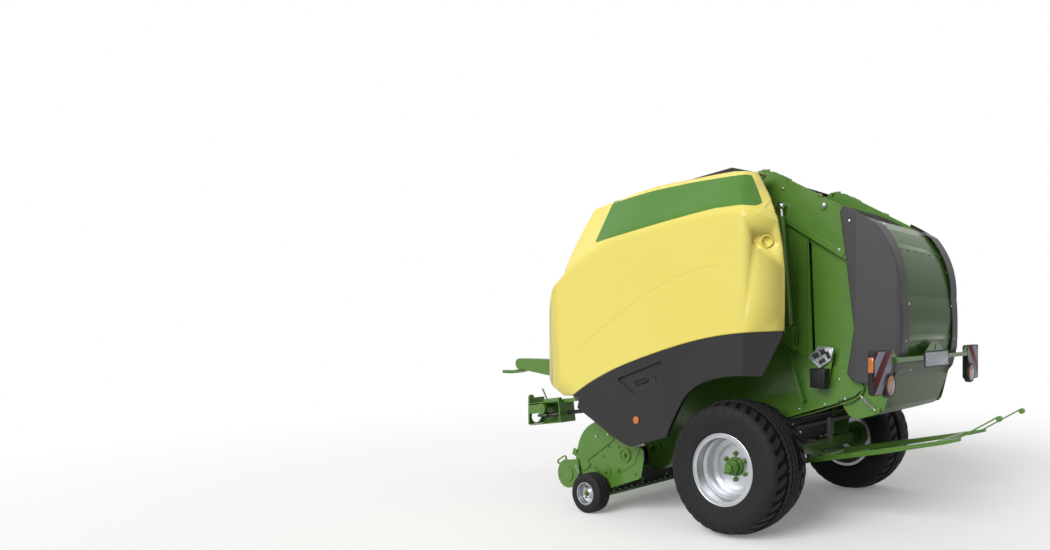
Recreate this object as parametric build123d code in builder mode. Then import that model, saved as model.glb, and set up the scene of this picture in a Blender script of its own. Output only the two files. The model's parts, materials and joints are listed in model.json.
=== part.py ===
"""Variable-chamber round baler, standing on its wheels and its drawbar jack.

Millimetres. +X points to the rear, +Y to the machine's right, +Z up. The origin lies on
the ground under the middle of the bounding box, and every X below is measured from the
wheel axle, which stands AXLE_X behind that origin. Only the left half of a mirrored pair
is drawn, on the -Y side.
"""
import os
from math import cos, hypot, radians, sin, tan

from build123d import *

os.makedirs("parts", exist_ok=True)

# --- driving dimensions -------------------------------------------------------------
AXLE_X = 1110.0          # wheel axle behind the origin
TRACK_HALF = 1042.0      # wheel centre planes, from the middle

TYRE_R, TYRE_W = 529.0, 492.0            # 500/55-20
RIM_R, FLANGE_R = 254.0, 280.0           # 20 inch bead seat
DISC_OUT = 30.0                          # wheel disc, outboard of the tyre's middle
STUD_PCD, STUD_COUNT, STUD_R = 205.0, 6, 11.0
STUB_R = 35.0                            # stub axle
AXLE_SIZE = 100.0                        # square axle beam
AXLE_END = 880.0                         # half length of the square beam

WALL_Y, WALL_T = 640.0, 8.0              # chamber side walls of the front half
GATE_Y, GATE_T = 622.0, 8.0              # tailgate walls, inside the front walls
ARM_Y, ARM_T = 658.0, 12.0               # tailgate arms, outside the front walls
PIVOT = (-12.0, 2890.0)                  # tailgate hinge, from the axle: rearward, up
PIVOT_PIN_R = 30.0

HOOD_Y, HOOD_T = 1290.0, 7.0             # side hood: outer plane and skin
HOOD_TOP_Y = 1040.0                      # its upper edge
HOOD_HINGE = (745.0, -900.0, 2808.0)     # a point on the hinge line: out, rearward, up
HOOD_RISE = 5.2                          # hinge line and upper edge rise to the rear

DRAWBAR_HALF = 70.0
EYE = (-4014.0, 1096.0)                  # hitch eye
EYE_R = 20.0
DRIVE_TILT = 7.5                         # driveline rises to the rear
DRIVE_POINT = (-3100.0, 660.0)           # a point on the driveline
PTO_R, PTO_TIP, PTO_LENGTH = 17.45, -3470.0, 100.0   # 1 3/8 inch stub

JACK = (-2465.0, 215.0)                  # jack leg: rearward, right
JACK_PIVOT_Z = 1150.0

LID_HINGE = (-1580.0, 2728.0)            # front cover hinge: rearward, up

PICKUP_PIVOT = (-1177.0, 515.0)
PICKUP_Y, PICKUP_T = 1076.0, 7.0         # pickup side plates: inner face, thickness
REEL = (-1530.0, 330.0)
ROTOR_R = 160.0
REEL_R, TINE_R = 145.0, 215.0            # tine bars and tine tips, from the reel's axis
CROP_ROLLER = (-1835.0, 291.0)
CROP_ROLLER_R, CROP_DISC_R = 80.0, 128.0
CROP_PIVOT = (-1743.0, 397.0)
CROP_Y = 1099.0                          # arms of the crop roller, inner face
GAUGE = (-1480.0, 1176.0)                # gauge wheels: rearward, out from the middle
GAUGE_R, GAUGE_W = 173.0, 150.0

EJECTOR_PIVOT = (-60.0, 424.0)
EJECTOR_Y = 320.0
CYL_FOOT = (285.0, 1600.0)               # tailgate cylinder, lower pin
CYL_HEAD = (190.0, 2610.0)               # tailgate cylinder, rod eye
CYL_Y, BARREL_R = 716.0, 30.0
PIN_GAP = 0.3                            # radial room of a turning pin


# --- helpers ------------------------------------------------------------------------
def side(y):
    """Sketch plane at Y = y: sketch x is rearward from the axle, sketch y is up; normal to the left."""
    return Plane(origin=(AXLE_X, y, 0), x_dir=(1, 0, 0), z_dir=(0, -1, 0))


def across(x):
    """Sketch plane at x behind the axle: sketch x is to the right, sketch y is up; normal to the rear."""
    return Plane(origin=(AXLE_X + x, 0, 0), x_dir=(0, 1, 0), z_dir=(1, 0, 0))


def level(z):
    """Sketch plane at height z: sketch x is rearward from the axle, sketch y is to the right."""
    return Plane(origin=(AXLE_X, 0, z))


def wheel_plane(x, y, z):
    """Plane through a left wheel's axis: sketch x is outboard from the wheel's middle, sketch y is radial."""
    return Plane(origin=(AXLE_X + x, -y, z), x_dir=(0, -1, 0), z_dir=(-1, 0, 0))


def cross_axis(x, z):
    """Axis across the machine."""
    return Axis((AXLE_X + x, 0, z), (0, 1, 0))


def outline(plane, points):
    """Closed polygon on a plane."""
    with BuildSketch(plane) as area:
        with BuildLine():
            Polyline(*points, close=True)
        make_face()
    return area.sketch


def disc(plane, centre, radius):
    """Round face on a plane."""
    with BuildSketch(plane) as area:
        with Locations(centre):
            Circle(radius)
    return area.sketch


def bar(plane, start, end, width):
    """Straight bar with square ends between two points of a plane."""
    dx, dy = end[0] - start[0], end[1] - start[1]
    reach = hypot(dx, dy)
    nx, ny = -dy / reach * width / 2, dx / reach * width / 2
    return outline(plane, [(start[0] + nx, start[1] + ny), (start[0] - nx, start[1] - ny),
                           (end[0] - nx, end[1] - ny), (end[0] + nx, end[1] + ny)])


def save(piece, label):
    """Name a finished piece and write it."""
    piece.part.label = label
    export_step(piece.part, f"parts/{label}.step")


def save_pair(left, name):
    """Write a left piece and its mirror image."""
    save(left, f"left_{name}")
    with BuildPart() as right:
        mirror(left.part, about=Plane.XZ)
    save(right, f"right_{name}")


# --- road wheels --------------------------------------------------------------------
axis = cross_axis(0, TYRE_R)
plane = wheel_plane(0, TRACK_HALF, TYRE_R)
half = TYRE_W / 2
disc_plane = Plane(origin=(AXLE_X, -TRACK_HALF - DISC_OUT + 4, TYRE_R), x_dir=(1, 0, 0),
                   z_dir=(0, -1, 0))

with BuildPart() as tyre:
    with BuildSketch(plane):
        with BuildLine():
            Polyline((-205, RIM_R + 2), (205, RIM_R + 2), (205, RIM_R + 22), (half - 14, 330))
            ThreePointArc((half - 14, 330), (half, 415), (half - 18, 492))
            ThreePointArc((half - 18, 492), (0, TYRE_R), (18 - half, 492))
            ThreePointArc((18 - half, 492), (-half, 415), (14 - half, 330))
            Polyline((14 - half, 330), (-205, RIM_R + 22), (-205, RIM_R + 2))
        make_face()
    revolve(axis=axis)
save_pair(tyre, "tyre")

with BuildPart() as rim:
    with BuildSketch(plane):
        with BuildLine():
            Polyline((-222, FLANGE_R), (-222, RIM_R), (-150, RIM_R), (-135, 232), (10, 232),
                     (22, 222), (22, 178), (DISC_OUT - 4, 150), (DISC_OUT - 4, 60),
                     (DISC_OUT + 6, 60), (DISC_OUT + 6, 158), (34, 184), (40, 224),
                     (120, 224), (140, 244), (222, 246), (222, FLANGE_R), (207, FLANGE_R),
                     (207, RIM_R), (128, RIM_R), (112, 232), (36, 240), (-128, 240),
                     (-145, RIM_R + 1), (-207, RIM_R + 1), (-207, FLANGE_R), close=True)
        make_face()
    revolve(axis=axis)
    with BuildSketch(disc_plane):
        with PolarLocations(STUD_PCD / 2, STUD_COUNT, start_angle=90):
            Circle(STUD_R + PIN_GAP)
    extrude(amount=20, mode=Mode.SUBTRACT)
save_pair(rim, "rim")

with BuildPart() as hub:
    with BuildSketch(plane):
        with BuildLine():
            Polyline((-90, STUB_R + PIN_GAP), (80, STUB_R + PIN_GAP), (80, 0), (128, 0),
                     (128, 40), (112, 54), (DISC_OUT + 30, 58), (DISC_OUT + 26, 72),
                     (DISC_OUT + 6, 78), (DISC_OUT + 6, 59), (DISC_OUT - 4, 59),
                     (DISC_OUT - 4, 132), (DISC_OUT - 22, 132), (DISC_OUT - 26, 80), (-80, 74),
                     (-90, 66), close=True)
        make_face()
    revolve(axis=axis)
    with BuildSketch(disc_plane):
        with PolarLocations(STUD_PCD / 2, STUD_COUNT, start_angle=90):
            Circle(STUD_R)
    extrude(amount=38)
save_pair(hub, "hub")

# --- axle and chamber front ----------------------------------------------------------
EAR_Y = (-EJECTOR_Y - 37, -EJECTOR_Y + 29, EJECTOR_Y - 37, EJECTOR_Y + 29)

with BuildPart() as axle_beam:
    with BuildSketch(across(0)):
        with Locations((0, TYRE_R)):
            Rectangle(2 * AXLE_END, AXLE_SIZE)
    extrude(amount=AXLE_SIZE / 2, both=True)
    for end in (-1, 1):
        extrude(disc(side(end * AXLE_END), (0, TYRE_R), STUB_R), amount=-end * 235)
        extrude(disc(side(end * AXLE_END), (0, TYRE_R), 62), amount=-end * 40)
    for y in EAR_Y:
        extrude(outline(side(y + 8), [(-100, 400), (-20, 400), (0, 430), (40, TYRE_R - 50),
                                      (-50, TYRE_R - 50), (-100, 470)]), amount=8)
    for y in (-EJECTOR_Y, EJECTOR_Y):
        extrude(disc(side(y - 37), EJECTOR_PIVOT, 12), amount=-74)
save(axle_beam, "axle_beam")

hinge_line = Plane(origin=(AXLE_X + HOOD_HINGE[1], -HOOD_HINGE[0], HOOD_HINGE[2]), x_dir=(0, 1, 0),
                   z_dir=(cos(radians(HOOD_RISE)), 0, sin(radians(HOOD_RISE))))
HINGE_AT, HINGE_PIN_R, HINGE_LUG = (-520.0, 620.0), 10.0, 12.0
HINGE_REACH = HOOD_HINGE[0] - WALL_Y - WALL_T

with BuildPart() as front_wall:
    extrude(outline(side(-WALL_Y), [
        (-1600, 1000), (-1760, 1250), (-1760, 2400), (-1592, 2745), (-262, 2925),
        (-127, 2885), (-60, 2930), (40, 2935), (70, 2860), (409, 2430), (449, 1472), (452, 1400),
        (470, 1345), (760, 1298), (815, 1290), (905, 1160), (822, 1087), (700, 1050), (224, 903),
        (150, 860), (120, 579), (-120, 579), (-230, 700), (-900, 600), (-1000, 430), (-1080, 345), (-1270, 345), (-1290, 560),
        (-1230, 640), (-1200, 820)]), amount=WALL_T)
    extrude(outline(side(-WALL_Y), [(224, 903), (700, 1050), (705, 1035), (229, 888)]), amount=55)
    extrude(disc(side(-WALL_Y - WALL_T), PIVOT, 48), amount=4)
    extrude(disc(side(-WALL_Y), PIVOT, PIVOT_PIN_R), amount=44)
    extrude(disc(side(-WALL_Y), PICKUP_PIVOT, 45), amount=52)
    extrude(disc(side(-WALL_Y), PICKUP_PIVOT, 30 + PIN_GAP), amount=52, mode=Mode.SUBTRACT)
    extrude(bar(side(-WALL_Y), (365, 2330), (365, 1400), 84), amount=20)
    extrude(bar(side(-WALL_Y), (250, 1450), (390, 1030), 18), amount=70)
    for y in (42, 102):
        extrude(outline(side(-WALL_Y - y), [(245, 1600), (252, 1625), (285, 1636), (320, 1625),
                                            (330, 1600), (330, 1440), (230, 1500)]), amount=12)
    extrude(disc(side(-WALL_Y), CYL_FOOT, 18), amount=114)
    extrude(outline(side(-WALL_Y), [(230, 1500), (330, 1440), (330, 1470), (230, 1530)]), amount=114)
    # brackets and pins of the hood hinge
    for along in HINGE_AT:
        for start in (-HINGE_LUG - 12, HINGE_LUG + 4):
            plate = hinge_line.offset(along + start)
            extrude(disc(plate, (0, 0), 20), amount=8)
            extrude(outline(plate, [(0, -20), (0, 20), (20, 16), (HINGE_REACH, -22),
                                    (HINGE_REACH, -95)]), amount=8)
        extrude(disc(hinge_line.offset(along - HINGE_LUG - 8), (0, 0), HINGE_PIN_R),
                amount=2 * HINGE_LUG + 16)
save_pair(front_wall, "front_wall")

# x, z, size of each square cross tube between the front walls
CROSS_TUBES = ((-1690, 1150, 120), (-1480, 2690, 80), (-330, 2850, 80), (-700, 740, 80),
               (300, 965, 80), (-1560, 1900, 60))
with BuildPart() as cross_members:
    for x, z, size in CROSS_TUBES:
        with BuildSketch(side(-WALL_Y)):
            with Locations((x, z)):
                RectangleRounded(size, size, 10)
                RectangleRounded(size - 12, size - 12, 5, mode=Mode.SUBTRACT)
        extrude(amount=-2 * WALL_Y)
    extrude(disc(side(-WALL_Y), LID_HINGE, 8), amount=-2 * WALL_Y)
save(cross_members, "cross_members")

# --- drawbar, hitch and driveline -----------------------------------------------------
with BuildPart() as drawbar:
    with BuildSketch(side(0)):
        with BuildLine():
            ThreePointArc((-3712, 1258), (-3775, 1200), (-3725, 1141))
            Polyline((-3725, 1141), (-3230, 1080), (-2700, 1000), (-1750, 1000), (-1750, 1258),
                     (-3712, 1258))
        make_face()
    extrude(amount=DRAWBAR_HALF, both=True)
    extrude(outline(side(0), [(-3640, 1246), (-3640, 1143), (-3230, 1092), (-2700, 1012),
                              (-1750, 1012), (-1750, 1246)]),
            amount=DRAWBAR_HALF - 10, both=True, mode=Mode.SUBTRACT)
    extrude(outline(level(1000), [(-1750, -320), (-1750, 320), (-2250, 70), (-2250, -70)]),
            amount=12)
save(drawbar, "drawbar")

with BuildPart() as hitch_tongue:
    extrude(outline(side(0), [(-4062, 1080), (-3870, 1080), (-3770, 1093), (-3670, 1120),
                              (-3725, 1140), (-3860, 1112), (-4062, 1112)]), amount=60, both=True)
    with BuildSketch(level(1060)):
        with Locations((EYE[0], 0)):
            Circle(46)
        with BuildLine():
            Polyline((EYE[0], -46), (-3830, -60), (-3660, -60), (-3660, 60), (-3830, 60),
                     (EYE[0], 46), close=True)
        make_face()
    extrude(amount=120, mode=Mode.INTERSECT)
    with Locations((AXLE_X + EYE[0], 0, 1112)):
        Hole(EYE_R, 60)
save(hitch_tongue, "hitch_tongue")


def drive(x):
    """Plane across the tilted driveline where it passes x; normal along it, to the rear."""
    rise = tan(radians(DRIVE_TILT))
    return Plane(origin=(AXLE_X + x, 0, DRIVE_POINT[1] + (x - DRIVE_POINT[0]) * rise),
                 x_dir=(0, 1, 0), z_dir=(cos(radians(DRIVE_TILT)), 0, sin(radians(DRIVE_TILT))))


with BuildPart() as gearbox:
    with BuildSketch(across(-2230)):
        with Locations((0, 856)):
            RectangleRounded(280, 236, 40)
    extrude(amount=330)
    extrude(disc(drive(-2290), (0, 0), 80), amount=90)
    extrude(disc(side(-140), (-2060, 860), 60), amount=60)
    with BuildSketch(level(965)):
        with Locations((-2065, 0)):
            Rectangle(200, 120)
    extrude(amount=35)
    fillet(gearbox.edges().filter_by(Axis.Y).group_by(Axis.Z)[0], radius=12)
save(gearbox, "gearbox")

with BuildPart() as drive_tube:
    with BuildSketch(drive(-2990)):
        Circle(22)
        Circle(18, mode=Mode.SUBTRACT)
    extrude(amount=700)
save(drive_tube, "drive_tube")

# open bearing box under the drawbar: front plate with a window, bottom, far side, top and rear
BOX_HALF = 110.0
with BuildPart() as driveline_box:
    with BuildSketch(across(-3515)):
        with Locations((0, 669)):
            Rectangle(2 * BOX_HALF, 300)
        with Locations((34 - BOX_HALF, 821)):
            Circle(34)
        with Locations((0, DRIVE_POINT[1] - 53)):
            Circle(75, mode=Mode.SUBTRACT)
    extrude(amount=20)
    for x, z, width, height in ((0, 145, 2 * BOX_HALF, 10), (0, -95, 2 * BOX_HALF, 10),
                                (BOX_HALF - 5, 25, 10, 240)):
        with BuildSketch(drive(-3500)):
            with Locations((x, z)):
                Rectangle(width, height)
        extrude(amount=496)
    with BuildSketch(drive(-3020)):
        with Locations((0, 25)):
            Rectangle(2 * BOX_HALF, 250)
        Circle(24, mode=Mode.SUBTRACT)
    extrude(amount=14)
    with BuildSketch(drive(-3497)):
        with Locations((16 - BOX_HALF, 78)):
            RectangleRounded(32, 100, 10)
    extrude(amount=190)
    extrude(disc(side(32 - BOX_HALF), (-3295, 708), 62), amount=44)
    extrude(disc(side(-12 - BOX_HALF), (-3295, 708), 40), amount=5, mode=Mode.SUBTRACT)
    extrude(disc(side(-7 - BOX_HALF), (-3295, 708), 22), amount=9)
    with BuildSketch(drive(-3250)):
        with Locations((28 - BOX_HALF, 150)):
            Circle(28)
    extrude(amount=245)
    extrude(bar(side(34 - BOX_HALF), (-3229, 800), (-3312, 930), 12), amount=12)
    extrude(bar(side(-40), (-3034, 806), (-2233, 904), 40), amount=-80)
save(driveline_box, "driveline_box")

with BuildPart() as pto_shaft:
    extrude(disc(drive(PTO_TIP), (0, 0), PTO_R), amount=PTO_LENGTH)
    extrude(disc(drive(PTO_TIP + 99), (0, 0), 30), amount=60)
    extrude(disc(drive(PTO_TIP + 150), (0, 0), 15), amount=480)
save(pto_shaft, "pto_shaft")

# --- jack -------------------------------------------------------------------------------
with BuildPart() as jack_mount:
    extrude(outline(side(JACK[1] - 60), [(JACK[0] - 90, 1080), (JACK[0] + 90, 1060),
                                         (JACK[0] + 90, 1230), (JACK[0] - 90, 1230)]),
            amount=JACK[1] - 60 - DRAWBAR_HALF)
    extrude(disc(side(JACK[1] - 60), (JACK[0], JACK_PIVOT_Z), 28), amount=-30)
save(jack_mount, "jack_mount")

with BuildPart() as jack_leg:
    with BuildSketch(level(420)):
        with Locations(JACK):
            RectangleRounded(90, 90, 8)
            Rectangle(74, 74, mode=Mode.SUBTRACT)
    extrude(amount=900)
    with BuildSketch(level(1310)):
        with Locations(JACK):
            Rectangle(86, 86)
    extrude(amount=24)
    with BuildSketch(level(10)):
        with Locations(JACK):
            Rectangle(70, 70)
    extrude(amount=700)
    with BuildSketch(level(0)):
        with Locations((JACK[0] + 18, JACK[1])):
            RectangleRounded(220, 190, 20)
    extrude(amount=12)
    extrude(disc(side(JACK[1] - 50), (JACK[0], 560), 8), amount=-100)
    extrude(disc(side(JACK[1] - 50), (JACK[0], JACK_PIVOT_Z), 28 + PIN_GAP), amount=-30,
            mode=Mode.SUBTRACT)
save(jack_leg, "jack_leg")

# --- roof, front cover and net box ----------------------------------------------------
with BuildPart() as roof_cover:
    extrude(outline(side(0), [(-1650, 2800), (-300, 2976), (-110, 2926), (-110, 2918),
                              (-300, 2968), (-1650, 2792)]), amount=700, both=True)
    for end in (-1, 1):
        extrude(outline(side(end * 700), [(-1650, 2800), (-300, 2976), (-110, 2926), (-110, 2896),
                                          (-300, 2930), (-1650, 2762)]), amount=end * 8)
save(roof_cover, "roof_cover")

with BuildPart() as net_box:
    extrude(outline(side(-620), [(-1760, 1700), (-1980, 1700), (-2000, 1760), (-1990, 1760),
                                 (-1975, 1712), (-1768, 1712), (-1768, 2380), (-1760, 2380)]),
            amount=-1240)
save(net_box, "net_box")

with BuildPart() as front_cover:
    extrude(outline(side(-630), [(-1622, 2738), (-1800, 2420), (-2025, 1980), (-2040, 1690),
                                 (-2033, 1690), (-2018, 1978), (-1792, 2416), (-1614, 2734)]),
            amount=-1260)
    for y in (-500, 500):
        extrude(disc(side(y), LID_HINGE, 15), amount=40)
        extrude(outline(side(y), [(-1622, 2738), (-1634, 2716), LID_HINGE, (-1580, 2743)]),
                amount=40)
        extrude(disc(side(y), LID_HINGE, 8 + PIN_GAP), amount=40, mode=Mode.SUBTRACT)
save(front_cover, "front_cover")

# --- side hoods --------------------------------------------------------------------------
HOOD_SEAM = [(-1592, 1024), (-1150, 1252), (-700, 1403), (-115, 1545), (239, 1586), (620, 1597)]
SEAM_GAP = 4.0
HOOD_FRONT_X, HOOD_FRONT_R = -2050.0, 290.0
HOOD_REAR_X = 452.0
# behind the axle, height of the soft crease under the band, height of the upper edge
HOOD_SECTIONS = ((-2150, 1830, 2619), (-1675, 2089, 2662), (-1372, 2274, 2690), (-871, 2421, 2735),
                 (-275, 2508, 2790), (300, 2500, 2842), (600, 2420, 2869))
CREASE_R = 160.0
BEVEL_AT = Vector(AXLE_X + 205, -1290, 2510)          # where side, bevel and their upper parts meet
BEVEL_LEAN = Vector(0.606, -0.466, 0.644).normalized()
CHIN = ((-1850, 1112), (-1560, 1028))    # front lower edge, where the skin turns in


# plan outline of the left hood: rounded front corner, bevelled rear corner
corner = HOOD_FRONT_X + HOOD_FRONT_R
with BuildLine() as hood_plan:
    Polyline((HOOD_FRONT_X, -745), (HOOD_REAR_X, -745), (HOOD_REAR_X, -1098), (205, -HOOD_Y),
             (corner, -HOOD_Y))
    RadiusArc((corner, -HOOD_Y), (HOOD_FRONT_X, -HOOD_Y + HOOD_FRONT_R), HOOD_FRONT_R)
    Line((HOOD_FRONT_X, -HOOD_Y + HOOD_FRONT_R), (HOOD_FRONT_X, -745))

# side outline of a hood, with the wheel arch in its lower edge
with BuildLine() as hood_side:
    Polyline((211, 1258), (322, 1254), (445, 1562), (458, 1932), (444, 2240), (416, 2430),
             (331, 2560), (267, 2650), (185, 2754), (96, 2865), (60, 2990), (-1556, 2990),
             (-1556, 2673), (-1672, 2280), (-1700, 2083), (-1856, 1953), (-1960, 1740), (-2080, 1660),
             (-2080, 1330), (-1960, 1185), (-1862, 1108), (-1803, 1065), (-1724, 985),
             (-1592, 955), (-1030, 668), (-917, 636), (-580, 730), (-535, 748))
    arch = TangentArc((211, 1258), (-164, 1195), tangent=(-1, 0))
    arch = TangentArc(arch @ 1, (-384, 1022), tangent=arch % 1)
    TangentArc(arch @ 1, (-535, 748), tangent=arch % 1)


def hood_block(inset):
    """Solid hood form; one drawn in by inset makes it a skin that is open to the rear."""
    y = HOOD_Y - inset
    with BuildPart() as block:
        for x, crease, top in HOOD_SECTIONS:
            with BuildSketch(across(x)) as section:
                with BuildLine():
                    Polyline((-y, 500), (-y, crease), (inset - HOOD_TOP_Y, top - inset),
                             (-650, top + 60 - inset), (-650, 500), close=True)
                make_face()
                fillet(section.vertices().sort_by_distance((-y, crease))[0], CREASE_R)
        loft()
        with BuildSketch(level(500)):
            add(hood_plan.line)
            make_face()
            if inset:
                offset(amount=-inset, kind=Kind.INTERSECTION)
                with BuildLine():
                    Polyline((400, -1080), (700, -1080), (700, -745), (400, -745), close=True)
                make_face()
        extrude(amount=2500, mode=Mode.INTERSECT)
        with BuildSketch(side(0)):
            add(hood_side.line)
            make_face()
            if inset:
                offset(amount=-inset)
                with BuildLine():
                    Polyline((300, 1266), (700, 1266), (700, 3000), (60, 3000), close=True)
                make_face()
        extrude(amount=1400, mode=Mode.INTERSECT)
        # above the crease the rear bevel leans in as the side does
        split(bisect_by=Plane(origin=BEVEL_AT - BEVEL_LEAN * inset, z_dir=BEVEL_LEAN),
              keep=Keep.BOTTOM)
        # chin: the skin turns in by 45 degrees below a line along the front lower edge
        run = Vector(CHIN[1][0] - CHIN[0][0], 0, CHIN[1][1] - CHIN[0][1])
        start = Plane(origin=(AXLE_X + CHIN[0][0], -y, CHIN[0][1]), x_dir=(0, -1, 0), z_dir=run)
        with BuildSketch(start):
            with BuildLine():
                Polyline((0, 0), (60, 0), (60, 300), (-260, 300), close=True)
            make_face()
        extrude(amount=run.length + 60, both=True, mode=Mode.SUBTRACT)
    return block.part


with BuildPart() as hood:
    add(hood_block(0))
    add(hood_block(HOOD_T), mode=Mode.SUBTRACT)
    # open toward the machine, with a folded lip along the lower and the rear edges
    extrude(outline(level(500), [(-2100, -700), (-2100, -752), (500, -752), (500, -700)]),
            amount=2500, mode=Mode.SUBTRACT)
    extrude(outline(level(500), [(-1640, -700), (-1640, -1250), (190, -1250), (415, -1075),
                                 (500, -1060), (500, -700)]), amount=1400, mode=Mode.SUBTRACT)
    extrude(outline(level(1850), [(300, -700), (300, -1130), (420, -1070), (500, -1060),
                                  (500, -700)]), amount=760, mode=Mode.SUBTRACT)

with BuildPart() as above_seam:
    with BuildSketch(side(-600)):
        with BuildLine():
            Spline(*HOOD_SEAM)
            Polyline(HOOD_SEAM[-1], (620, 3100), (-2200, 3100), (-2200, 990), HOOD_SEAM[0])
        make_face()
    extrude(amount=800)

with BuildPart() as below_seam:
    with BuildSketch(side(-600)):
        with BuildLine():
            Spline(*[(x, z - SEAM_GAP) for x, z in HOOD_SEAM])
            Polyline((HOOD_SEAM[-1][0], HOOD_SEAM[-1][1] - SEAM_GAP), (620, 500), (-1592, 500),
                     (HOOD_SEAM[0][0], HOOD_SEAM[0][1] - SEAM_GAP))
        make_face()
    extrude(amount=800)

with BuildPart() as hood_upper:
    add(hood.part)
    add(above_seam.part, mode=Mode.INTERSECT)
    for along in HINGE_AT:
        with BuildSketch(hinge_line.offset(along)):
            Circle(24)
            with BuildLine():
                Polyline((-24, 0), (24, 0), (24, -60), (-110, -60), close=True)
            make_face()
            Circle(HINGE_PIN_R + PIN_GAP, mode=Mode.SUBTRACT)
        extrude(amount=HINGE_LUG, both=True)
    # finger cup in the rear bevel
    bevel = Plane(origin=(AXLE_X + 328.5, -1194, 2275), x_dir=(247, 192, 0), z_dir=(192, -247, 0))
    with BuildSketch(bevel):
        SlotOverall(190, 132)
    extrude(amount=-40)
    with BuildSketch(bevel):
        SlotOverall(174, 116)
    extrude(amount=20, mode=Mode.SUBTRACT)
    with BuildSketch(bevel):
        SlotOverall(174, 116)
    extrude(amount=-33, mode=Mode.SUBTRACT)
    with BuildSketch(bevel.offset(-33)):
        with Locations((30, 0)):
            Circle(50)
            Circle(38, mode=Mode.SUBTRACT)
    extrude(amount=28)
save_pair(hood_upper, "hood_upper")

HANDLE_DISH = [(-1068, 1190), (-579, 1354), (-579, 1308), (-628, 1122), (-865, 1063)]
with BuildPart() as hood_lower:
    add(hood.part)
    add(below_seam.part, mode=Mode.INTERSECT)
    with BuildSketch(side(-HOOD_Y)) as dish:
        with BuildLine():
            Polyline(*HANDLE_DISH, close=True)
        make_face()
        fillet(dish.vertices(), 12)
        offset(amount=8)
    extrude(amount=-26)
    with BuildSketch(side(-HOOD_Y)) as dish:
        with BuildLine():
            Polyline(*HANDLE_DISH, close=True)
        make_face()
        fillet(dish.vertices(), 12)
    extrude(amount=-19, mode=Mode.SUBTRACT)
    with BuildSketch(side(-HOOD_Y + 26)):
        with Locations((-808, 1174)):
            SlotOverall(160, 42, rotation=17)
    extrude(amount=-26, both=True, mode=Mode.SUBTRACT)
save_pair(hood_lower, "hood_lower")

# --- tailgate -------------------------------------------------------------------------------
with BuildPart() as tailgate_wall:
    extrude(outline(side(-GATE_Y), [
        (-60, 2925), (101, 2904), (207, 2844), (468, 2705), (740, 2560), (980, 2400),
        (1052, 2325), (1090, 2262), (1138, 2100), (1178, 1867), (1192, 1668), (1184, 1530),
        (1130, 1256), (1080, 1050), (1060, 990), (1000, 955), (839, 909), (770, 930), (718, 996),
        (640, 1290), (470, 1350), (430, 2300), (120, 2532), (-60, 2830)]), amount=GATE_T)
    extrude(disc(side(-GATE_Y), PIVOT, PIVOT_PIN_R + PIN_GAP), amount=GATE_T, mode=Mode.SUBTRACT)
save_pair(tailgate_wall, "tailgate_wall")

with BuildPart() as tailgate_arm:
    extrude(outline(side(-ARM_Y), [(-60, 2925), (101, 2904), (207, 2844), (468, 2705), (735, 2540),
                                   (762, 2475), (758, 2149), (120, 2532), (-70, 2840)]),
            amount=ARM_T)
    extrude(bar(side(-ARM_Y - ARM_T), (128, 2552), (740, 2186), 46), amount=8)
    extrude(disc(side(-ARM_Y), PIVOT, PIVOT_PIN_R + PIN_GAP), amount=ARM_T, mode=Mode.SUBTRACT)
    extrude(outline(side(-GATE_Y - GATE_T), [(500, 2660), (740, 2530), (750, 2200), (500, 2340)]),
            amount=ARM_Y - GATE_Y - GATE_T)
    extrude(disc(side(-ARM_Y - ARM_T), (559, 2589), 34), amount=8)
    extrude(disc(side(-ARM_Y - ARM_T), (559, 2589), 14), amount=14)
    extrude(disc(side(-ARM_Y - ARM_T), CYL_HEAD, 34), amount=24)
save_pair(tailgate_arm, "tailgate_arm")

# rear curve of the tailgate, top to bottom, and the half width of its sheet
REAR_TOP, REAR_MID, REAR_LOW, REAR_FOOT = (985, 2408), (1184, 1870), (1196, 1600), (1052, 1000)
REAR_FACE = ((1190, 1490), (1136, 1240))     # flat stretch behind the light bar
PANEL_Y, PANEL_FRONT = 598.0, 860.0
with BuildPart() as rear_panel:
    for inset, mode in ((0, Mode.ADD), (7, Mode.SUBTRACT)):
        with BuildSketch(side(-PANEL_Y)) as sheet:
            with BuildLine():
                ThreePointArc(REAR_TOP, (1096, 2235), REAR_MID)
                ThreePointArc(REAR_MID, (1201, 1740), REAR_LOW)
                Polyline(REAR_LOW, *REAR_FACE, REAR_FOOT, (1005, 952), (850, 905), (700, 905),
                         (700, 2596), REAR_TOP)
            make_face()
            if inset:
                offset(amount=-inset, kind=Kind.INTERSECTION)
        extrude(amount=-2 * PANEL_Y, mode=mode)
    extrude(outline(side(-PANEL_Y), [(690, 890), (PANEL_FRONT, 890), (PANEL_FRONT, 2620),
                                     (690, 2620)]), amount=-2 * PANEL_Y, mode=Mode.SUBTRACT)
save(rear_panel, "rear_panel")

# side cover of the tailgate: outline from the left, and where its flanges are cut back
COVER = [(1075, 1190), (944, 1190), (830, 1212), (784, 1266), (845, 1612), (777, 2138), (722, 2522),
         (752, 2572), (868, 2508), (1006, 2424)]
COVER_OPEN = [(690, 2566), (750, 2556), (860, 2300), (1000, 2200), (1100, 1900), (1130, 1700),
              (1120, 1500), (1115, 1300), (1175, 1286), (1175, 1180), (690, 1180)]
COVER_Y, COVER_REAR_Y, COVER_LIP_Y, COVER_T = 702.0, 655.0, 490.0, 7.0


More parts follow.
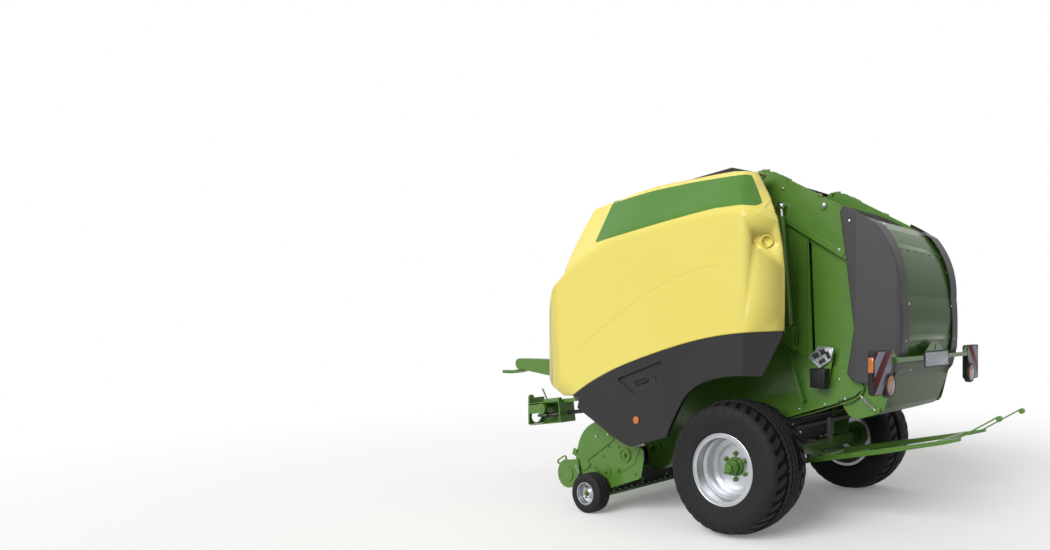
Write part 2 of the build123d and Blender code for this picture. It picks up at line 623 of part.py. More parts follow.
def cover_block(inset, lip):
    """Solid form of the left tail cover, drawn in by inset, out from the middle as far as lip."""
    with BuildPart() as block:
        with BuildSketch(side(-lip)):
            with BuildLine():
                ThreePointArc((1006, 2424), (1117, 2258), (1197, 1867))
                ThreePointArc((1197, 1867), (1215, 1668), (1203, 1450))
                Polyline((1203, 1450), (1157, 1290), *COVER)
            make_face()
            if inset:
                offset(amount=-inset, kind=Kind.INTERSECTION)
        extrude(amount=COVER_Y - lip)
        outer, rear = inset - COVER_Y, inset - COVER_REAR_Y
        extrude(outline(level(1100), [(690, outer), (860, outer), (1170, rear), (1202, rear + 14),
                                      (1230, rear + 60), (1230, -lip), (690, -lip)]),
                amount=1500, mode=Mode.INTERSECT)
    return block.part


with BuildPart() as tail_cover:
    add(cover_block(0, COVER_LIP_Y))
    add(cover_block(COVER_T, COVER_LIP_Y - 20), mode=Mode.SUBTRACT)
    extrude(outline(side(-COVER_LIP_Y), COVER_OPEN), amount=COVER_REAR_Y - COVER_LIP_Y - 20,
            mode=Mode.SUBTRACT)
    extrude(outline(side(-COVER_LIP_Y), [(690, 2600), (920, 2500), (920, 1180), (690, 1180)]),
            amount=COVER_Y - COVER_LIP_Y - 27, mode=Mode.SUBTRACT)
save_pair(tail_cover, "tail_cover")

BAR_X, BAR_Z, BAR_SIZE, BAR_Y = 1231.0, 1385.0, 34.0, 793.0
BOARD_IN, BOARD_OUT, BOARD_X = 864.0, 1167.0, 1228.0


def face_x(z):
    """Rear face of the tailgate sheet at height z, behind the light bar."""
    (x1, z1), (x2, z2) = REAR_FACE
    return x1 + (z - z1) * (x2 - x1) / (z2 - z1)


with BuildPart() as light_bar:
    low, high, near = BAR_Z - BAR_SIZE / 2, BAR_Z + BAR_SIZE / 2, BAR_X - BAR_SIZE / 2
    with BuildSketch(side(-BAR_Y)):
        with Locations((BAR_X, BAR_Z)):
            Rectangle(BAR_SIZE, BAR_SIZE)
    extrude(amount=-2 * BAR_Y)
    with BuildSketch(across(BAR_X)) as gusset:
        with BuildLine():
            Polyline((-274, high), (-70, 1508), (52, 1508), (274, high), close=True)
        make_face()
        with Locations((0, 1466)):
            Circle(22, mode=Mode.SUBTRACT)
    extrude(amount=6)
    for end in (-1, 1):
        extrude(outline(side(end * 200 + 25), [(face_x(low), low), (face_x(high), high),
                                               (near, high), (near, low)]), amount=50)
        extrude(outline(across(near), [(end * 760, high), (end * 760, low), (end * BOARD_IN, low),
                                       (end * BOARD_IN, 1455), (end * 830, 1455)]), amount=8)
save(light_bar, "light_bar")

with BuildPart() as light_unit:
    with BuildSketch(across(BOARD_X - 55)):
        with Locations((-(BOARD_IN + BOARD_OUT) / 2, 1303.5)):
            RectangleRounded(BOARD_OUT - BOARD_IN, 313, 20)
    extrude(amount=55)
    chamfer(light_unit.faces().sort_by(Axis.X)[0].edges(), 14)
    with BuildSketch(side(-BOARD_OUT)):
        with Locations((BOARD_X - 26, 1303.5)):
            RectangleRounded(30, 110, 8)
    extrude(amount=9)
    extrude(disc(across(BOARD_X - 30), (-919, 1206), 88), amount=34)
    extrude(disc(across(BOARD_X + 4), (-919, 1206), 80), amount=14)
save_pair(light_unit, "light_unit")

with BuildPart() as number_plate:
    with BuildSketch(across(BAR_X + BAR_SIZE / 2)):
        with Locations((0, 1368)):
            RectangleRounded(548, 132, 8)
    extrude(amount=6)
save(number_plate, "number_plate")


def belt_loop(piece_arc, height, thickness):
    """Closed belt section round an arc of rollers."""
    with BuildSketch(side(-600)) as section:
        with BuildLine() as run:
            ThreePointArc(*piece_arc)
        SlotArc(run.wires()[0], height)
        SlotArc(run.wires()[0], height - 2 * thickness, mode=Mode.SUBTRACT)
    return section.sketch


BELT_COUNT, BELT_PITCH, BELT_W, BELT_T = 4, 300.0, 280.0, 10.0
GATE_BELT = ((300, 2620), (1075, 1800), (870, 1060))
FRONT_BELT = ((-200, 2560), (-760, 1900), (-560, 1150))
# name, arc of the belt run, half length of its rollers
BELTS = (("tailgate", GATE_BELT, GATE_Y), ("front", FRONT_BELT, WALL_Y))
ROLLER_R = 75.0

for name, arc, reach in BELTS:
    with BuildPart() as belts:
        for i in range(BELT_COUNT):
            section = belt_loop(arc, 2 * (ROLLER_R + BELT_T), BELT_T)
            extrude(section.moved(Location((0, 10 + i * BELT_PITCH, 0))), amount=-BELT_W)
    save(belts, f"{name}_belts")
    with BuildPart() as rollers:
        for end in (arc[0], arc[2]):
            extrude(disc(side(-reach), end, ROLLER_R), amount=-2 * reach)
    save(rollers, f"{name}_rollers")

# --- rotor and floor under the chamber ------------------------------------------------------
with BuildPart() as feed_rotor:
    extrude(disc(side(-WALL_Y + 6), PICKUP_PIVOT, 70), amount=-2 * (WALL_Y - 6))
    extrude(disc(side(-WALL_Y - 14), PICKUP_PIVOT, 30), amount=-2 * (WALL_Y + 14))
    for i in range(15):
        points = []
        for corner in range(8):
            turn = radians(24 * i + 45 * corner)
            reach = 80 if corner % 2 else ROTOR_R
            points.append((PICKUP_PIVOT[0] + reach * cos(turn), PICKUP_PIVOT[1] + reach * sin(turn)))
        extrude(outline(side(-560 + 80 * i), points), amount=8, both=True)
save(feed_rotor, "feed_rotor")

with BuildPart() as chamber_floor:
    with BuildSketch(side(-WALL_Y)):
        with BuildLine():
            ThreePointArc((-1288, 357), (-1177, 322), (-1022, 399))
            Polyline((-1022, 399), (-760, 780), (-770, 786), (-1029, 405))
            ThreePointArc((-1029, 405), (-1177, 330), (-1283, 363))
            Line((-1283, 363), (-1288, 357))
        make_face()
    extrude(amount=-2 * WALL_Y)
save(chamber_floor, "chamber_floor")

# --- tailgate cylinders ---------------------------------------------------------------------
cyl_dx, cyl_dz = CYL_HEAD[0] - CYL_FOOT[0], CYL_HEAD[1] - CYL_FOOT[1]
cyl_length = hypot(cyl_dx, cyl_dz)


def cylinder_plane(distance):
    """Plane across the left cylinder at a distance from its lower pin."""
    share = distance / cyl_length
    return Plane(origin=(AXLE_X + CYL_FOOT[0] + share * cyl_dx, -CYL_Y, CYL_FOOT[1] + share * cyl_dz),
                 x_dir=(0, 1, 0), z_dir=(cyl_dx, 0, cyl_dz))


with BuildPart() as barrel:
    extrude(disc(side(-CYL_Y + 15), CYL_FOOT, 34), amount=30)
    extrude(disc(cylinder_plane(20), (0, 0), 13), amount=40)
    extrude(disc(cylinder_plane(48), (0, 0), BARREL_R), amount=cyl_length - 138)
    extrude(disc(cylinder_plane(62), (0, 0), 20 + PIN_GAP), amount=cyl_length, mode=Mode.SUBTRACT)
    extrude(disc(side(-CYL_Y + 15), CYL_FOOT, 18 + PIN_GAP), amount=30, mode=Mode.SUBTRACT)
save_pair(barrel, "cylinder_barrel")

with BuildPart() as rod:
    extrude(disc(cylinder_plane(75), (0, 0), 20), amount=cyl_length - 105)
    extrude(disc(side(-CYL_Y + 12), CYL_HEAD, 34), amount=24)
    extrude(disc(side(-CYL_Y - 12), CYL_HEAD, 18), amount=20)
save_pair(rod, "cylinder_rod")

# --- pickup -----------------------------------------------------------------------------------
TINE_COUNT, TINE_PITCH, TINE = 27, 80.0, 6.0
BAND_IN, BAND_T, BAND_W = 171.0, 3.0, 62.0
BAND_END_X = -1372.0                     # rear end of the stripper bands
top, bottom = REEL[1] + BAND_IN, REEL[1] - BAND_IN
with BuildSketch(side(0)) as band:
    for radius, mode in ((BAND_IN + BAND_T, Mode.ADD), (BAND_IN, Mode.SUBTRACT)):
        with BuildLine():
            Polyline((REEL[0], REEL[1] - radius), (BAND_END_X, REEL[1] - radius),
                     (BAND_END_X, REEL[1] + radius), (REEL[0], REEL[1] + radius))
            ThreePointArc((REEL[0], REEL[1] + radius), (REEL[0] - radius, REEL[1]),
                          (REEL[0], REEL[1] - radius))
        make_face(mode=mode)

with BuildPart() as pickup_frame:
    # stripper bands round the reel, one in each gap between the tine rows
    for i in range(TINE_COUNT - 1):
        y = (i - TINE_COUNT / 2 + 1) * TINE_PITCH + BAND_W / 2
        extrude(band.sketch.moved(Location((0, y, 0))), amount=BAND_W)
    for x, z, depth, height in ((BAND_END_X - 7, top + 4, 24, 24), (BAND_END_X + 5, bottom - 6, 30, 24)):
        with BuildSketch(side(-PICKUP_Y)):
            with Locations((x, z)):
                Rectangle(depth, height)
        extrude(amount=-2 * PICKUP_Y)
    extrude(disc(side(-PICKUP_Y), (-1380, 660), 45), amount=-2 * PICKUP_Y)
    for end in (-1, 1):
        extrude(bar(side(end * 660), (-1380, 660), PICKUP_PIVOT, 90), amount=-end * 12)
        extrude(disc(side(end * 660), PICKUP_PIVOT, 70), amount=-end * 12)
        extrude(disc(side(end * 660), PICKUP_PIVOT, 45 + PIN_GAP), amount=-end * 12,
                mode=Mode.SUBTRACT)
        extrude(bar(side(end * 900), (-1380, 660), (BAND_END_X - 7, top + 4), 60), amount=-end * 10)
save(pickup_frame, "pickup_frame")

# wide band pressed on the pickup's side plate, down to the foot that carries the crop roller
SIDE_BAND = [(-1743, 479), (-1370, 703), (-1281, 641), (-1604, 430), (-1568, 397), (-1600, 357),
             (-1652, 331), (-1690, 372), (-1748, 425)]
with BuildPart() as pickup_side:
    with BuildSketch(side(-PICKUP_Y)):
        with BuildLine():
            Polyline((-1700, 318), (-1748, 400), (-1750, 500), (-1731, 547))
            ThreePointArc((-1731, 547), (-1656, 690), (-1521, 777))
            Polyline((-1521, 777), (-1440, 785), (-1380, 722), (-1010, 598), (-954, 577),
                     (-949, 499), (-985, 330), (-1316, 216), (-1560, 200), (-1700, 318))
        make_face()
    extrude(amount=PICKUP_T)
    extrude(outline(side(-PICKUP_Y - PICKUP_T), SIDE_BAND), amount=10)
    plate = side(-PICKUP_Y - PICKUP_T)
    extrude(disc(plate, (-1157, 518), 62), amount=14)
    extrude(disc(plate.offset(14), (-1157, 518), 48), amount=-9, mode=Mode.SUBTRACT)
    extrude(disc(plate.offset(5), (-1166, 512), 24), amount=12)
    extrude(disc(plate, (-1239, 376), 20), amount=12)
    extrude(disc(plate, (-1380, 348), 54), amount=8)
    for start, end in (((-1002, 575), (-1051, 455)), ((-1051, 455), (-1227, 349))):
        extrude(bar(plate, start, end, 8), amount=6)
    extrude(bar(plate, (-1316, 222), (-988, 335), 12), amount=14)
    extrude(disc(plate, CROP_PIVOT, 15), amount=CROP_Y + 12 - PICKUP_Y - PICKUP_T)
    extrude(bar(plate, (GAUGE[0], GAUGE_R), (-1380, 348), 40), amount=10)
    extrude(disc(plate, (GAUGE[0], GAUGE_R), 14), amount=150)
save_pair(pickup_side, "pickup_side")

with BuildPart() as pickup_reel:
    extrude(disc(side(-PICKUP_Y + 6), REEL, 50), amount=-2 * (PICKUP_Y - 6))
    for y in (-1040, -520, 0, 520, 1040):
        for angle in (0, 90):
            with BuildSketch(side(y)):
                with Locations(REEL):
                    Rectangle(2 * REEL_R, 30, rotation=angle)
            extrude(amount=5, both=True)
    for i in range(4):
        centre = (REEL[0] + REEL_R * cos(radians(90 * i)), REEL[1] + REEL_R * sin(radians(90 * i)))
        extrude(disc(side(-1050), centre, 14), amount=-2100)
    # spring tines, four rows
    for row in range(TINE_COUNT):
        with BuildSketch(side((row - (TINE_COUNT - 1) / 2) * TINE_PITCH)):
            for i in range(4):
                turn = radians(90 * i)
                with Locations((REEL[0] + (TINE_R + REEL_R) / 2 * cos(turn),
                                REEL[1] + (TINE_R + REEL_R) / 2 * sin(turn))):
                    Rectangle(TINE_R - REEL_R, TINE, rotation=90 * i)
        extrude(amount=TINE / 2, both=True)
save(pickup_reel, "pickup_reel")

with BuildPart() as crop_guard:
    extrude(disc(side(-PICKUP_Y + 10), CROP_ROLLER, CROP_ROLLER_R), amount=-2 * (PICKUP_Y - 10))
    extrude(disc(side(-CROP_Y - 2), CROP_ROLLER, 30), amount=-2 * (CROP_Y + 2))
    for end in (-1, 1):
        arm = side(end * CROP_Y)
        extrude(disc(arm, CROP_ROLLER, CROP_DISC_R), amount=-end * 10)
        extrude(outline(arm, [(-1850, 414), (-1778, 426), (-1712, 432), (-1699, 394), (-1690, 310),
                              (-1725, 322), (-1778, 262), (-1850, 200)]), amount=-end * 10)
        extrude(disc(side(end * (CROP_Y + 10)), CROP_ROLLER, 70), amount=-end * 8)
        with BuildSketch(arm):
            with Locations((-1913, 410)):
                SlotOverall(128, 48, rotation=30)
                SlotOverall(104, 24, rotation=30, mode=Mode.SUBTRACT)
        extrude(amount=-end * 10)
        extrude(disc(arm, CROP_PIVOT, 15 + PIN_GAP), amount=-end * 10, mode=Mode.SUBTRACT)
save(crop_guard, "crop_guard")

with BuildPart() as gauge_wheel:
    with BuildSketch(wheel_plane(GAUGE[0], GAUGE[1], GAUGE_R)):
        with BuildLine():
            Polyline((-70, 14 + PIN_GAP), (45, 14 + PIN_GAP), (45, 60), (70, 88), (75, 120),
                     (68, 160), (50, GAUGE_R), (-50, GAUGE_R), (-68, 160), (-75, 120),
                     (-70, 88), close=True)
        make_face()
    revolve(axis=cross_axis(GAUGE[0], GAUGE_R))
save_pair(gauge_wheel, "gauge_wheel")

# --- bale ejector -------------------------------------------------------------------------------
with BuildPart() as ejector:
    for y in (-EJECTOR_Y, EJECTOR_Y):
        extrude(outline(side(y - 25), [(-90, 400), (-60, 396), (205, 462), (907, 603), (1440, 724),
                                       (1556, 757), (1553, 779), (1430, 752), (907, 646),
                                       (205, 508), (60, 466), (-60, 450), (-90, 445)]), amount=-50)
        extrude(disc(side(y - 25), EJECTOR_PIVOT, 12 + PIN_GAP), amount=-50, mode=Mode.SUBTRACT)
        for lane in (-10, 10):
            extrude(bar(side(y + lane - 5), (1500, 752), (1836, 955), 10), amount=-10)
        extrude(disc(side(y - 20), (1852, 945), 22), amount=-40)
    for x, z in ((260, 497), (1380, 728)):
        extrude(disc(side(-EJECTOR_Y), (x, z), 18), amount=-2 * EJECTOR_Y)
save(ejector, "ejector")

# --- wheel chock ----------------------------------------------------------------------------------
with BuildPart() as chock_holder:
    extrude(outline(side(-WALL_Y - WALL_T - 32), [(446, 1379), (557, 1480), (668, 1457), (602, 1139),
                                             (481, 1162)]), amount=6)
    extrude(outline(side(-WALL_Y - WALL_T - 32), [(500, 1380), (560, 1380), (560, 1250),
                                             (500, 1250)]), amount=-32)
save(chock_holder, "chock_holder")

with BuildPart() as wheel_chock:
    extrude(outline(side(-WALL_Y - WALL_T - 40), [(466, 1300), (600, 1300), (600, 1140),
                                             (481, 1160)]), amount=110)
save(wheel_chock, "wheel_chock")
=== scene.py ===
"""Looks of the round baler: finishes of the CAD nodes, and the tread, bolts, lamps, trim and small parts."""
import json
import math

import bmesh
import bpy
from mathutils import Matrix, Vector


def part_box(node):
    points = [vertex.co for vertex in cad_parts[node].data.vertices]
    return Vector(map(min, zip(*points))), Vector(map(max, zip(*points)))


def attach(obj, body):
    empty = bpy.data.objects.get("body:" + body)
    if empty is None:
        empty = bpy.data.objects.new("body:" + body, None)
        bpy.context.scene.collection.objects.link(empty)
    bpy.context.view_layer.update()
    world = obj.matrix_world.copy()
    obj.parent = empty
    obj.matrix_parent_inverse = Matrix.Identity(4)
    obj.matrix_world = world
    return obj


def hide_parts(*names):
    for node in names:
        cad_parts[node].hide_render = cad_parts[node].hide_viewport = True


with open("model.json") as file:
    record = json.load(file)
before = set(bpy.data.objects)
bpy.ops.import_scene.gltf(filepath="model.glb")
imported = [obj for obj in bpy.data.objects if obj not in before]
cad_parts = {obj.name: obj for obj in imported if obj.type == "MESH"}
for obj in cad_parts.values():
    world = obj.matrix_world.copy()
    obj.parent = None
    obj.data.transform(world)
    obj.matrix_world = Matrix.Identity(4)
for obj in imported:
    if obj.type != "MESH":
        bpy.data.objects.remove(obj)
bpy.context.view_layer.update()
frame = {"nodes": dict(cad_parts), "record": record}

nodes = frame["nodes"]
scene = bpy.context.scene
MM = 0.001

# --- places in the frame, taken from the CAD nodes ----------------------------------------
tyre_low, tyre_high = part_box("left_tyre")
AXLE_X = (tyre_low.x + tyre_high.x) / 2
AXLE_Z = (tyre_low.z + tyre_high.z) / 2
TYRE_R = (tyre_high.z - tyre_low.z) / 2 / MM
TRACK_HALF = -(tyre_low.y + tyre_high.y) / 2 / MM


def at(x, y, z):
    """Point from millimetres behind the axle, right of the middle, and above the ground."""
    return Vector((AXLE_X + x * MM, y * MM, z * MM))


# --- camera ------------------------------------------------------------------------------
IMAGE_W, IMAGE_H = 1050.0, 550.0
FOCAL = 789.0                       # focal length in widths of the image's smallest unit
CENTRE = (765.0, 331.1)             # where the lens axis meets the image
YAW, PITCH = 0.566, 0.008


def add_camera():
    """Camera at standing height off the left rear corner, with the baler right of the image's middle."""
    lens = bpy.data.cameras.new("camera")
    lens.sensor_width = 36.0
    lens.lens = FOCAL * lens.sensor_width / IMAGE_W
    lens.shift_x = (IMAGE_W / 2 - CENTRE[0]) / IMAGE_W
    lens.shift_y = (CENTRE[1] - IMAGE_H / 2) / IMAGE_W
    lens.clip_end = 200.0
    camera = bpy.data.objects.new("camera", lens)
    look = Vector((-math.sin(YAW) * math.cos(PITCH), math.cos(YAW) * math.cos(PITCH), -math.sin(PITCH)))
    turn = look.to_track_quat("-Z", "Y").to_matrix().to_4x4()
    camera.matrix_world = Matrix.Translation(at(3523, -6196.7, 1644.4)) @ turn
    scene.collection.objects.link(camera)
    scene.camera = camera


add_camera()


# --- materials ---------------------------------------------------------------------------
def linear(code):
    """Linear colour with alpha 1 from an sRGB hex code."""
    values = [int(code[i:i + 2], 16) / 255 for i in (1, 3, 5)]
    return [v / 12.92 if v <= 0.04045 else ((v + 0.055) / 1.055) ** 2.4 for v in values] + [1.0]


def put(tree, kind, settings=None, **links):
    """Add a shader node: settings are its properties or input values, links feed its inputs.

    An input goes by its name, or by its place written as _0, _1 and so on.
    """
    made = tree.nodes.new(kind)
    for name, value in (settings or {}).items():
        if name[0] == "_":
            made.inputs[int(name[1:])].default_value = value
        elif name in made.inputs:
            made.inputs[name].default_value = value
        else:
            setattr(made, name, value)
    for name, source in links.items():
        key = int(name[1:]) if name[0] == "_" else name.replace("_", " ")
        tree.links.new(source, made.inputs[key])
    return made


def ramp(tree, source, stops, interpolation="LINEAR"):
    """Colours along a value: stops are (place, hex code)."""
    made = put(tree, "ShaderNodeValToRGB", Fac=source)
    made.color_ramp.interpolation = interpolation
    while len(made.color_ramp.elements) < len(stops):
        made.color_ramp.elements.new(0.5)
    for element, (place, code) in zip(made.color_ramp.elements, stops):
        element.position = place
        element.color = linear(code)
    return made.outputs["Color"]


def finish(name, dark, light, rough, cloud=320.0, grain=2.0, depth=0.02, spread=0.05, edge=1.5, **shader):
    """A surface in two close colours that drift in clouds, with a fine grain; sizes in millimetres.

    rough is the mean roughness and spread how far it varies, edge the radius at which corners catch the
    light; shader gives the shader's own constants.
    """
    made = bpy.data.materials.new(name)
    made.use_nodes = True
    tree = made.node_tree
    surface = tree.nodes["Principled BSDF"]
    place = put(tree, "ShaderNodeTexCoord").outputs["Object"]
    clouds = put(tree, "ShaderNodeTexNoise", {"Scale": 1000 / cloud, "Detail": 5.0}, Vector=place)
    tone = ramp(tree, clouds.outputs["Fac"], [(0.35, dark), (0.65, light)])
    tree.links.new(tone, surface.inputs["Base Color"])
    fine = put(tree, "ShaderNodeTexNoise", {"Scale": 1000 / grain, "Detail": 2.0}, Vector=place)
    gloss = put(tree, "ShaderNodeMapRange", {"To Min": rough - spread, "To Max": rough + spread},
                Value=clouds.outputs["Fac"])
    tree.links.new(gloss.outputs["Result"], surface.inputs["Roughness"])
    corner = put(tree, "ShaderNodeBevel", {"samples": 6, "Radius": edge * MM})
    bump = put(tree, "ShaderNodeBump", {"Strength": 0.7, "Distance": depth * MM},
               Height=fine.outputs["Fac"], Normal=corner.outputs["Normal"])
    tree.links.new(bump.outputs["Normal"], surface.inputs["Normal"])
    for key, value in shader.items():
        surface.inputs[key.replace("_", " ")].default_value = value
    return made


def part_of(made, kind):
    """The one node of a kind in a material."""
    return next(n for n in made.node_tree.nodes if n.bl_idname == kind)


# stoved two-pack enamel on sheet steel: high gloss, a faint orange peel 6 mm across
enamel_green = finish("enamel_green", "#55802F", "#5B8634", 0.30, grain=6, depth=0.05, Coat_Weight=0.25,
                      Coat_Roughness=0.12, Specular_IOR_Level=0.4)
# the same enamel on thick castings and forgings, whose skin shows through as a coarse grain
enamel_casting = finish("enamel_on_casting", "#4E782B", "#588232", 0.42, grain=9, depth=0.25,
                        Specular_IOR_Level=0.4)
# painted glass-fibre panel: pale yellow gelcoat, very even, wide soft reflections
gelcoat_yellow = finish("gelcoat_yellow", "#F4E472", "#F6E675", 0.30, cloud=900, grain=14, depth=0.03,
                        edge=16, Coat_Weight=0.25, Coat_Roughness=0.1, Specular_IOR_Level=0.3)
# film bonded on the gelcoat: flat green, glossier than the panel
film_green = finish("vinyl_film_green", "#508430", "#568A34", 0.24, cloud=1200, grain=20, depth=0.01,
                    Specular_IOR_Level=0.25)
# thermoformed ABS panel, dark grey, with a fine leathery emboss 3 mm coarse
abs_grey = finish("thermoformed_abs_grey", "#2F2F30", "#323233", 0.46, cloud=700, grain=3, depth=0.12,
                  edge=9, Specular_IOR_Level=0.25)
# rotomoulded polyethylene covers: a shade lighter and duller, with an even matt pimple
polyethylene_grey = finish("rotomoulded_polyethylene", "#403F41", "#434244", 0.46, cloud=500, grain=4,
                           depth=0.15, edge=18, Specular_IOR_Level=0.35)
# cured tyre rubber: charcoal black, dull, dusty in patches
tyre_rubber = finish("tyre_rubber", "#1E1E1F", "#232324", 0.66, cloud=140, grain=2.5, depth=0.25,
                     Specular_IOR_Level=0.25)
# floor of the tread grooves: unworn, darkened as painted shade in the recesses
groove_rubber_painted_shade = finish("groove_rubber_painted_shade", "#0A0A0B", "#111111", 0.85, cloud=90, grain=4, depth=0.4,
                       Specular_IOR_Level=0.1)
# aluminium-filled wheel enamel: bright silver with a metallic flake
wheel_silver = finish("silver_wheel_enamel", "#B9BBC0", "#C6C8CC", 0.30, cloud=260, grain=3, depth=0.04,
                      Metallic=0.85)
# turned cast iron left in primer: nearly black, grainy; the same near-black serves as painted shade under
# the chamber and in the bracket's cut-outs
iron_primer_and_painted_shade = finish("cast_iron_in_primer_and_painted_shade", "#202221", "#2A2C2A", 0.62, cloud=120, grain=5, depth=0.3,
                   Specular_IOR_Level=0.4)
# zinc-plated fasteners and plates: pale grey metal with a bluish bloom
zinc_steel = finish("zinc_plated_steel", "#B4B8BF", "#CBCDD1", 0.34, cloud=40, grain=4, depth=0.05,
                    Metallic=0.9)
# hot-dip galvanised sheet: mottled spangle 12 mm across
galvanised = finish("galvanised_sheet", "#8F9698", "#C9CDCE", 0.38, cloud=12, grain=3, depth=0.06,
                    Metallic=0.8)
# machined and oiled shaft steel
shaft_steel = finish("oiled_shaft_steel", "#6E7071", "#8A8B8C", 0.33, cloud=60, grain=2, depth=0.05,
                     Metallic=0.95)
# hard chrome on the cylinder rods: mirror bright
hard_chrome = finish("hard_chrome", "#D2D4D6", "#DADCDE", 0.10, cloud=200, grain=2, depth=0.005,
                     spread=0.03, Metallic=1.0)
# moulded black polypropylene for housings, handles and the roof sheet
black_polypropylene = finish("moulded_black_polypropylene", "#151517", "#1C1C1E", 0.48, cloud=200,
                             grain=3, depth=0.1, Specular_IOR_Level=0.35)
# folded roof sheet in matt black enamel
enamel_black = finish("matt_black_enamel", "#101011", "#171718", 0.55, grain=5, depth=0.05)
# chevron-ribbed bale belt: black rubber over fabric, ribs 24 mm apart
belt_rubber = finish("belt_rubber", "#19191A", "#222223", 0.78, cloud=160, grain=3, depth=0.2,
                     Specular_IOR_Level=0.2)
# enamel of the rear sheet: the same green darkened as painted shade, since the sheet faces away from the
# light, with a weaker gloss, so that it reflects little at a slant
enamel_rear_painted_shade = finish("rear_sheet_enamel_painted_shade", "#3C6220", "#416824", 0.24, cloud=420, grain=6, depth=0.05,
                     Specular_IOR_Level=0.16)
# retroreflective plate face, blank: bluish white with a glassy skin
plate_white = finish("retroreflective_plate", "#B9BFCC", "#C6CAD6", 0.25, cloud=60, grain=2, depth=0.02)
# moulded acrylic lenses: clear colour over a ribbed back, very glossy
lens_red = finish("acrylic_lens_red", "#6E1512", "#861B16", 0.14, cloud=30, grain=8, depth=0.6,
                  Coat_Weight=0.6, Coat_Roughness=0.05)
lens_amber = finish("acrylic_lens_amber", "#C4660F", "#DA7A18", 0.16, cloud=30, grain=8, depth=0.5,
                    Coat_Weight=0.6, Coat_Roughness=0.05)

# ribs of the belts, across their run
BELT_RIB = 0.024
WAVE_UNIT = 20                  # the wave texture repeats this many times faster than its scale says
tree = belt_rubber.node_tree
place = part_of(belt_rubber, "ShaderNodeTexCoord").outputs["Object"]
ribs = put(tree, "ShaderNodeTexWave",
           {"Scale": 2 * math.pi / BELT_RIB / WAVE_UNIT, "bands_direction": "DIAGONAL"}, Vector=place)
rib_bump = put(tree, "ShaderNodeBump", {"Strength": 0.8, "Distance": 0.003}, Height=ribs.outputs["Fac"],
               Normal=part_of(belt_rubber, "ShaderNodeBump").outputs["Normal"])
tree.links.new(rib_bump.outputs["Normal"], tree.nodes["Principled BSDF"].inputs["Normal"])

# warning board: red and white retroreflective strips, 118 mm wide along the edges, falling outwards
STRIPE_PAIR = 0.236
STRIPE_START = 2.557            # out from the middle plus height, where a red strip begins
board_stripes = finish("retroreflective_stripes", "#888888", "#888888", 0.35, cloud=60, grain=2,
                       depth=0.02, Specular_IOR_Level=0.08)
tree = board_stripes.node_tree
place = part_of(board_stripes, "ShaderNodeTexCoord").outputs["Object"]
axes = put(tree, "ShaderNodeSeparateXYZ", Vector=place)
out = put(tree, "ShaderNodeMath", {"operation": "ABSOLUTE"}, Value=axes.outputs["Y"])
total = put(tree, "ShaderNodeMath", {"operation": "ADD"}, _0=out.outputs[0], _1=axes.outputs["Z"])
phase = put(tree, "ShaderNodeMath", {"operation": "ADD", "_1": -STRIPE_START % STRIPE_PAIR},
            _0=total.outputs[0])
turns = put(tree, "ShaderNodeMath", {"operation": "DIVIDE", "_1": STRIPE_PAIR}, _0=phase.outputs[0])
stripe = put(tree, "ShaderNodeMath", {"operation": "FRACT"}, _0=turns.outputs[0])
colours = ramp(tree, stripe.outputs[0], [(0.0, "#6E1715"), (0.5, "#A9AEBC")], "CONSTANT")
tree.links.new(colours, tree.nodes["Principled BSDF"].inputs["Base Color"])

SLOT_LOOKS = {
    "tyre": tyre_rubber, "rim_silver": wheel_silver, "green": enamel_green, "iron": iron_primer_and_painted_shade,
    "black_plastic": black_polypropylene, "steel": shaft_steel, "chrome": hard_chrome,
    "yellow": gelcoat_yellow, "hood_grey": abs_grey, "cover_grey": polyethylene_grey,
    "belt": belt_rubber, "plate": plate_white,
}
NODE_LOOKS = {"hitch_tongue": enamel_casting, "gearbox": enamel_casting, "left_hub": enamel_casting,
              "right_hub": enamel_casting, "roof_cover": enamel_black, "rear_panel": enamel_rear_painted_shade,
              "number_plate": black_polypropylene}
for part in frame["record"]["subparts"]:
    look = NODE_LOOKS.get(part["node"], SLOT_LOOKS[part["material_slot"]])
    for held in nodes[part["node"]].material_slots:
        held.material = look

# --- making pieces -----------------------------------------------------------------------
def settle(builder, name, look, smooth=35):
    """Mesh object of a finished shape: doubles merged, faces outwards, edges above an angle kept sharp."""
    bmesh.ops.remove_doubles(builder, verts=builder.verts, dist=1e-5)
    bmesh.ops.recalc_face_normals(builder, faces=builder.faces)
    for face in builder.faces:
        face.smooth = True
    mesh = bpy.data.meshes.new(name)
    builder.to_mesh(mesh)
    builder.free()
    mesh.set_sharp_from_angle(angle=math.radians(smooth))
    mesh.materials.append(look)
    made = bpy.data.objects.new(name, mesh)
    scene.collection.objects.link(made)
    return made


def hold(made, body, replaces):
    """Let a piece ride on a body, and hide the CAD node that it replaces."""
    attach(made, body)
    if replaces:
        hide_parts(replaces)


def mount(make, name, body, look, replaces=None):
    """Make a shape as one piece on a body."""
    builder = bmesh.new()
    make(builder)
    hold(settle(builder, name, look), body, replaces)


def mount_pair(make, name, bodies, look, replaces=None):
    """A left piece and its mirror image, each on its own body."""
    for hand, body, flip in (("left", bodies[0], 1), ("right", bodies[1], -1)):
        builder = bmesh.new()
        make(builder)
        bmesh.ops.scale(builder, vec=(1, flip, 1), verts=builder.verts)
        made = settle(builder, f"{hand}_{name}", look)
        hold(made, body, replaces and f"{hand}_{replaces}")


def aim(point, direction):
    """Matrix that carries +Z onto a direction, at a point."""
    turn = Vector(direction).normalized().to_track_quat("Z", "Y").to_matrix().to_4x4()
    return Matrix.Translation(point) @ turn


def round_edges(builder, edges, rim):
    """Bevel edges round; rim is in millimetres, and none leaves them sharp."""
    if rim:
        bmesh.ops.bevel(builder, geom=list(edges), offset=rim * MM, affect="EDGES", segments=2,
                        profile=0.5, material=-1)


